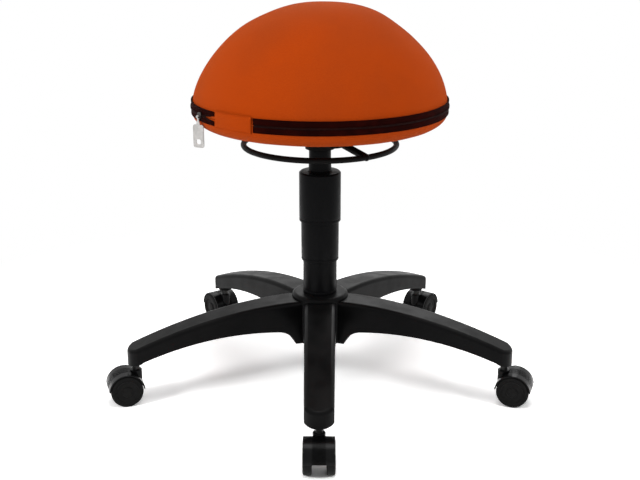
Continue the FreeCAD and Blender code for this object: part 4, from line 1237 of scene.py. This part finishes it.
# ---- Column covers
def cover_sleeve(name, node, body, neck_length=0.0):
    """One stage of the column's cover: a moulded sleeve with a rolled lip at its foot.
    The outer one has a roof with a slim collar up round the gas spring, with a painted highlight band round
    that collar."""
    low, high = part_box(node)
    radius = high.x
    outline = [
        (radius - cover_wall, low.z),
        (radius - 0.3 * mm, low.z),
        (radius, low.z + 0.6 * mm),
        (radius, low.z + cover_lip_height),
        (radius - 0.45 * mm, low.z + cover_lip_height + 0.5 * mm),
        (radius - 0.45 * mm, low.z + cover_lip_height + 1.3 * mm),
        (radius, low.z + cover_lip_height + 1.8 * mm),
    ]
    roof = high.z - neck_length
    if neck_length:
        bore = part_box("pressure_tube")[1].x + 0.3 * mm
        neck = bore + 3.3 * mm
        outline += [
            (radius, roof - 2.2 * mm),
            (radius - 2.2 * mm, roof),
            (neck + 2.4 * mm, roof),
            (neck, roof + 2.4 * mm),
            (neck, highlight_band_low + roof),
            (neck - 0.5 * mm, highlight_band_high + roof),
            (neck - 0.5 * mm, high.z - 0.8 * mm),
            (neck - 1.3 * mm, high.z),
            (bore, high.z),
            (bore, roof - 2.5 * mm),
            (radius - cover_wall, roof - 2.5 * mm),
        ]
    else:
        outline += [(radius, roof - 0.8 * mm), (radius - 0.8 * mm, roof), (radius - cover_wall, roof)]
    sleeve = turned_shape(rounded(outline, 0.7 * mm, 3), 96)
    # Faces in the collar's band take the lighter grey: a painted highlight.
    for face in sleeve.faces:
        middle = face.calc_center_median()
        face.material_index = 1 if neck_length and roof + highlight_band_low < middle.z < roof + highlight_band_high else 0
    piece(name, sleeve, body, [sleeve_plastic, sleeve_painted_highlight], "cover_plastic", node)


# ---- Castors
def wheel_shape(side):
    """One castor wheel on the axle's line along Y: soft tread, dished face and hub cap.
    Faces of the tread carry material 0 and the rest material 1."""
    inner, outer = wheel_inner_side, wheel_outer_side
    bore = axle_radius + 0.1 * mm
    outline = [
        (bore, inner),
        (12 * mm, inner),
        (12.8 * mm, inner + 1.2 * mm),
        (20.5 * mm, inner + 1.2 * mm),
        (21.2 * mm, inner),
        (23.4 * mm, inner),
    ]
    outline += arc((23.4 * mm, inner + 1.6 * mm), 1.6 * mm, -90, 0, 4)
    outline += [(wheel_radius, inner + 1.6 * mm), (wheel_radius, outer - 3.0 * mm)]
    outline += arc((wheel_radius - 3.0 * mm, outer - 3.0 * mm), 3.0 * mm, 0, 90, 6)
    outline += [
        (20.6 * mm, outer),
        (20.2 * mm, outer - 0.5 * mm),
        (19.8 * mm, outer - 0.5 * mm),
        (19.4 * mm, outer),
        (17.9 * mm, outer),
        (17.2 * mm, outer - 0.5 * mm),
        (16.4 * mm, outer - 1.5 * mm),
        (15.6 * mm, outer - 1.7 * mm),
        (8.6 * mm, outer - 1.7 * mm),
        (8.1 * mm, outer - 1.3 * mm),
        (7.6 * mm, outer - 0.6 * mm),
        (6.4 * mm, outer - 0.3 * mm),
        (0.0, outer - 0.2 * mm),
        (0.0, outer - 1.2 * mm),
        (bore, outer - 1.4 * mm),
    ]
    shape = turned_shape(outline, 56)
    for face in shape.faces:
        middle = face.calc_center_median()
        face.material_index = 0 if math.hypot(middle.x, middle.y) > 20.2 * mm else 1
    if side < 0:
        bmesh.ops.scale(shape, vec=(1, 1, -1), verts=shape.verts)
        bmesh.ops.recalc_face_normals(shape, faces=shape.faces)
    shape.transform(Matrix.Rotation(math.radians(-90), 4, "X"))
    return shape


def hood_shape():
    """Castor housing about the axle's line along Y, with the stem's boss inboard of it."""
    rise = math.degrees(math.asin(hood_over_axle / hood_radius))
    outer_arc = arc((0.0, 0.0), hood_radius, rise, 180 - rise, 30)
    inner_rise = math.degrees(math.asin(hood_over_axle / hood_inner_radius))
    inner_arc = arc((0.0, 0.0), hood_inner_radius, 180 - inner_rise, inner_rise, 30)
    roof = pushed_shape(outer_arc + inner_arc, -hood_half_width, hood_half_width)
    foot_rise = math.degrees(math.asin(hood_over_axle / web_foot_radius))
    foot = arc((0.0, 0.0), web_foot_radius, 180 - foot_rise, 360 + foot_rise, 24)
    web = pushed_shape(outer_arc + foot, -web_half_width, web_half_width)
    top = stem_boss_top - wheel_radius
    boss = [
        (stem_bore_radius, hood_over_axle),
        (stem_boss_radius, hood_over_axle),
        (stem_boss_radius, top - 0.8 * mm),
        (stem_boss_radius - 0.8 * mm, top),
        (stem_bore_radius, top),
    ]
    boss = set_out(turned_shape(boss, 32), x=-castor_trail)
    return joined([roof, web, boss])


def castor(number):
    """A castor's dressed pieces, at its place in the base."""
    angle = first_leg_angle + 360.0 / leg_count * (number - 1)
    reach = castor_circle_radius + castor_trail
    body = f"castor_{number}"
    hood = set_out(hood_shape(), angle, reach, 0.0, wheel_radius)
    hood = piece(f"{body}_hood", hood, body, hood_nylon, "black_nylon", f"{body}_housing")
    eased(hood, 0.5 * mm)
    for side, hand in ((1, "left"), (-1, "right")):
        wheel = set_out(wheel_shape(side), angle, reach, 0.0, wheel_radius)
        finishes = [wheel_tread, wheel_nylon]
        node = f"{body}_wheel_{hand}"
        piece(f"{body}_{hand}_wheel", wheel, f"{body}_{hand}", finishes, "wheel_plastic", node, sharp=28.0)


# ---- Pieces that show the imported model
node_finishes = [
    (foam_skin, ["seat_foam"]),
    (board_wood, ["seat_board"]),
    (zinc_steel, ["board_inserts", "seat_screws", "rod_clip", "lever_pivot_pin"]),
    (black_oxide_steel, [f"castor_{k}_stem" for k in range(1, leg_count + 1)]),
    (bright_steel, ["release_pin", "piston_rod", "piston", "lower_race", "bearing_balls", "upper_race"]),
    (bright_steel, [f"castor_{k}_axle" for k in range(1, leg_count + 1)]),
    (black_powder_coat, ["seat_plate", "swing_housing", "release_lever", "release_ring", "spring_socket"]),
    (satin_black_tube, ["pressure_tube", "stand_tube"]),
    (mount_rubber, ["rubber_mount", "bump_stop"]),
    (base_nylon, ["star_base"]),
    (bush_acetal, ["guide_bush", "rod_guide"]),
]


def finish_nodes():
    """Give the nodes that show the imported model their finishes."""
    for material, nodes in node_finishes:
        for node in nodes:
            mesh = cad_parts[node].data
            mesh.materials.clear()
            mesh.materials.append(material)


# ---- Studio
camera_distance = 1.6118
camera_height = 0.7428
camera_turn = 0.234
camera_pitch = 17.525
camera_lens = 60.003
floor_size = 60.0
floor_brightness = 1.6          # as the camera sees it, so that only the deeper shadows show
soft_lamps = [
    ("left_softbox", (-1.75, -1.15, 1.1), 0.5, 28.0, False),
    ("right_softbox", (1.75, -1.1, 1.1), 0.5, 18.0, False),
    ("top_softbox", (0.1, -0.3, 2.5), 1.1, 18.0, True),
    ("back_softbox", (0.4, 1.9, 1.7), 1.4, 14.0, True),
]


def seen_directly(tree):
    """1 for what the camera sees, straight or in a mirror or through glass."""
    path = tree.nodes.new("ShaderNodeLightPath").outputs
    seen = calc(tree, "MAXIMUM", path["Is Camera Ray"], path["Is Glossy Ray"])
    return calc(tree, "MAXIMUM", seen, path["Is Transmission Ray"])


def pale_floor():
    """A white floor that keeps the object's shadow near it and runs out to plain white."""
    mesh = bpy.data.meshes.new("studio_floor")
    half = floor_size / 2
    corners = [(-half, -half, 0), (half, -half, 0), (half, half, 0), (-half, half, 0)]
    mesh.from_pydata(corners, [], [(0, 1, 2, 3)])
    floor = bpy.data.objects.new("studio_floor", mesh)
    bpy.context.scene.collection.objects.link(floor)
    material, tree, shader = new_finish("floor_paint")
    shader["Base Color"].default_value = (0.86, 0.86, 0.86, 1)
    shader["Roughness"].default_value = 0.9
    shader["Specular IOR Level"].default_value = 0.0
    seen = seen_directly(tree)
    place = add(tree, "ShaderNodeTexCoord", out="Object")
    reach = add(tree, "ShaderNodeVectorMath", {0: place}, out="Value", operation="LENGTH")
    bright = (floor_brightness, floor_brightness, floor_brightness, 1)
    lit = add(tree, "ShaderNodeBsdfDiffuse", {"Color": bright})
    near = add(tree, "ShaderNodeMixShader", {0: seen, 1: tree.nodes["Principled BSDF"].outputs[0], 2: lit})
    far = calc(tree, "MULTIPLY", remap(tree, reach, 0.45, 0.9, 0.0, 1.0), seen)
    plain = add(tree, "ShaderNodeEmission", {"Color": (1, 1, 1, 1), "Strength": 1.0})
    front = add(tree, "ShaderNodeMixShader", {0: far, 1: near, 2: plain})
    below = add(tree, "ShaderNodeNewGeometry", out="Backfacing")
    clear = add(tree, "ShaderNodeBsdfTransparent")
    whole = add(tree, "ShaderNodeMixShader", {0: below, 1: front, 2: clear})
    tree.links.new(whole, tree.nodes["Material Output"].inputs["Surface"])
    mesh.materials.append(material)


def white_surround():
    """A plain world: white to look at, and an even, softer light on the object."""
    world = bpy.data.worlds.new("studio_light")
    bpy.context.scene.world = world
    world.use_nodes = True
    tree = world.node_tree
    shader = tree.nodes["Background"].inputs
    shader["Color"].default_value = (1, 1, 1, 1)
    tree.links.new(remap(tree, seen_directly(tree), 0.0, 1.0, 0.38, 1.0), shader["Strength"])


def lamps():
    """Four soft lamps aimed at the stool; the two low ones are left out of reflections."""
    for name, place, size, power, mirrored in soft_lamps:
        light = bpy.data.lights.new(name, "AREA")
        light.energy = power
        light.size = size
        lamp = bpy.data.objects.new(name, light)
        lamp.location = place
        lamp.visible_glossy = mirrored
        lamp.rotation_euler = (Vector((0, 0, 0.35)) - Vector(place)).to_track_quat("-Z", "Y").to_euler()
        bpy.context.scene.collection.objects.link(lamp)


def camera():
    """The camera, above the seat and looking down at it, turned a little to one side."""
    lens = bpy.data.cameras.new("camera")
    lens.sensor_width = 36
    lens.lens = camera_lens
    eye = bpy.data.objects.new("camera", lens)
    turn = math.radians(camera_turn)
    eye.location = (camera_distance * math.sin(turn), -camera_distance * math.cos(turn), camera_height)
    eye.rotation_euler = (math.radians(90 - camera_pitch), 0, turn)
    bpy.context.scene.collection.objects.link(eye)
    bpy.context.scene.camera = eye


# ---- The scene
seat_dome_cloth()
seat_under_cloth()
zip_tape_woven()
zip_teeth()
tape_stitches()
closure_tab_cloth()
zip_slider_body()
zip_pull_tab()
cover_sleeve("outer_cover_sleeve", "cover_outer", "spring_head", cover_neck_length)
cover_sleeve("middle_cover_sleeve", "cover_inner", "inner_cover")
cover_sleeve("lower_cover_sleeve", "cover_lower", "base")
for castor_number in range(1, leg_count + 1):
    castor(castor_number)
finish_nodes()
pale_floor()
white_surround()
lamps()
camera()
bpy.context.scene.view_settings.view_transform = "Standard"
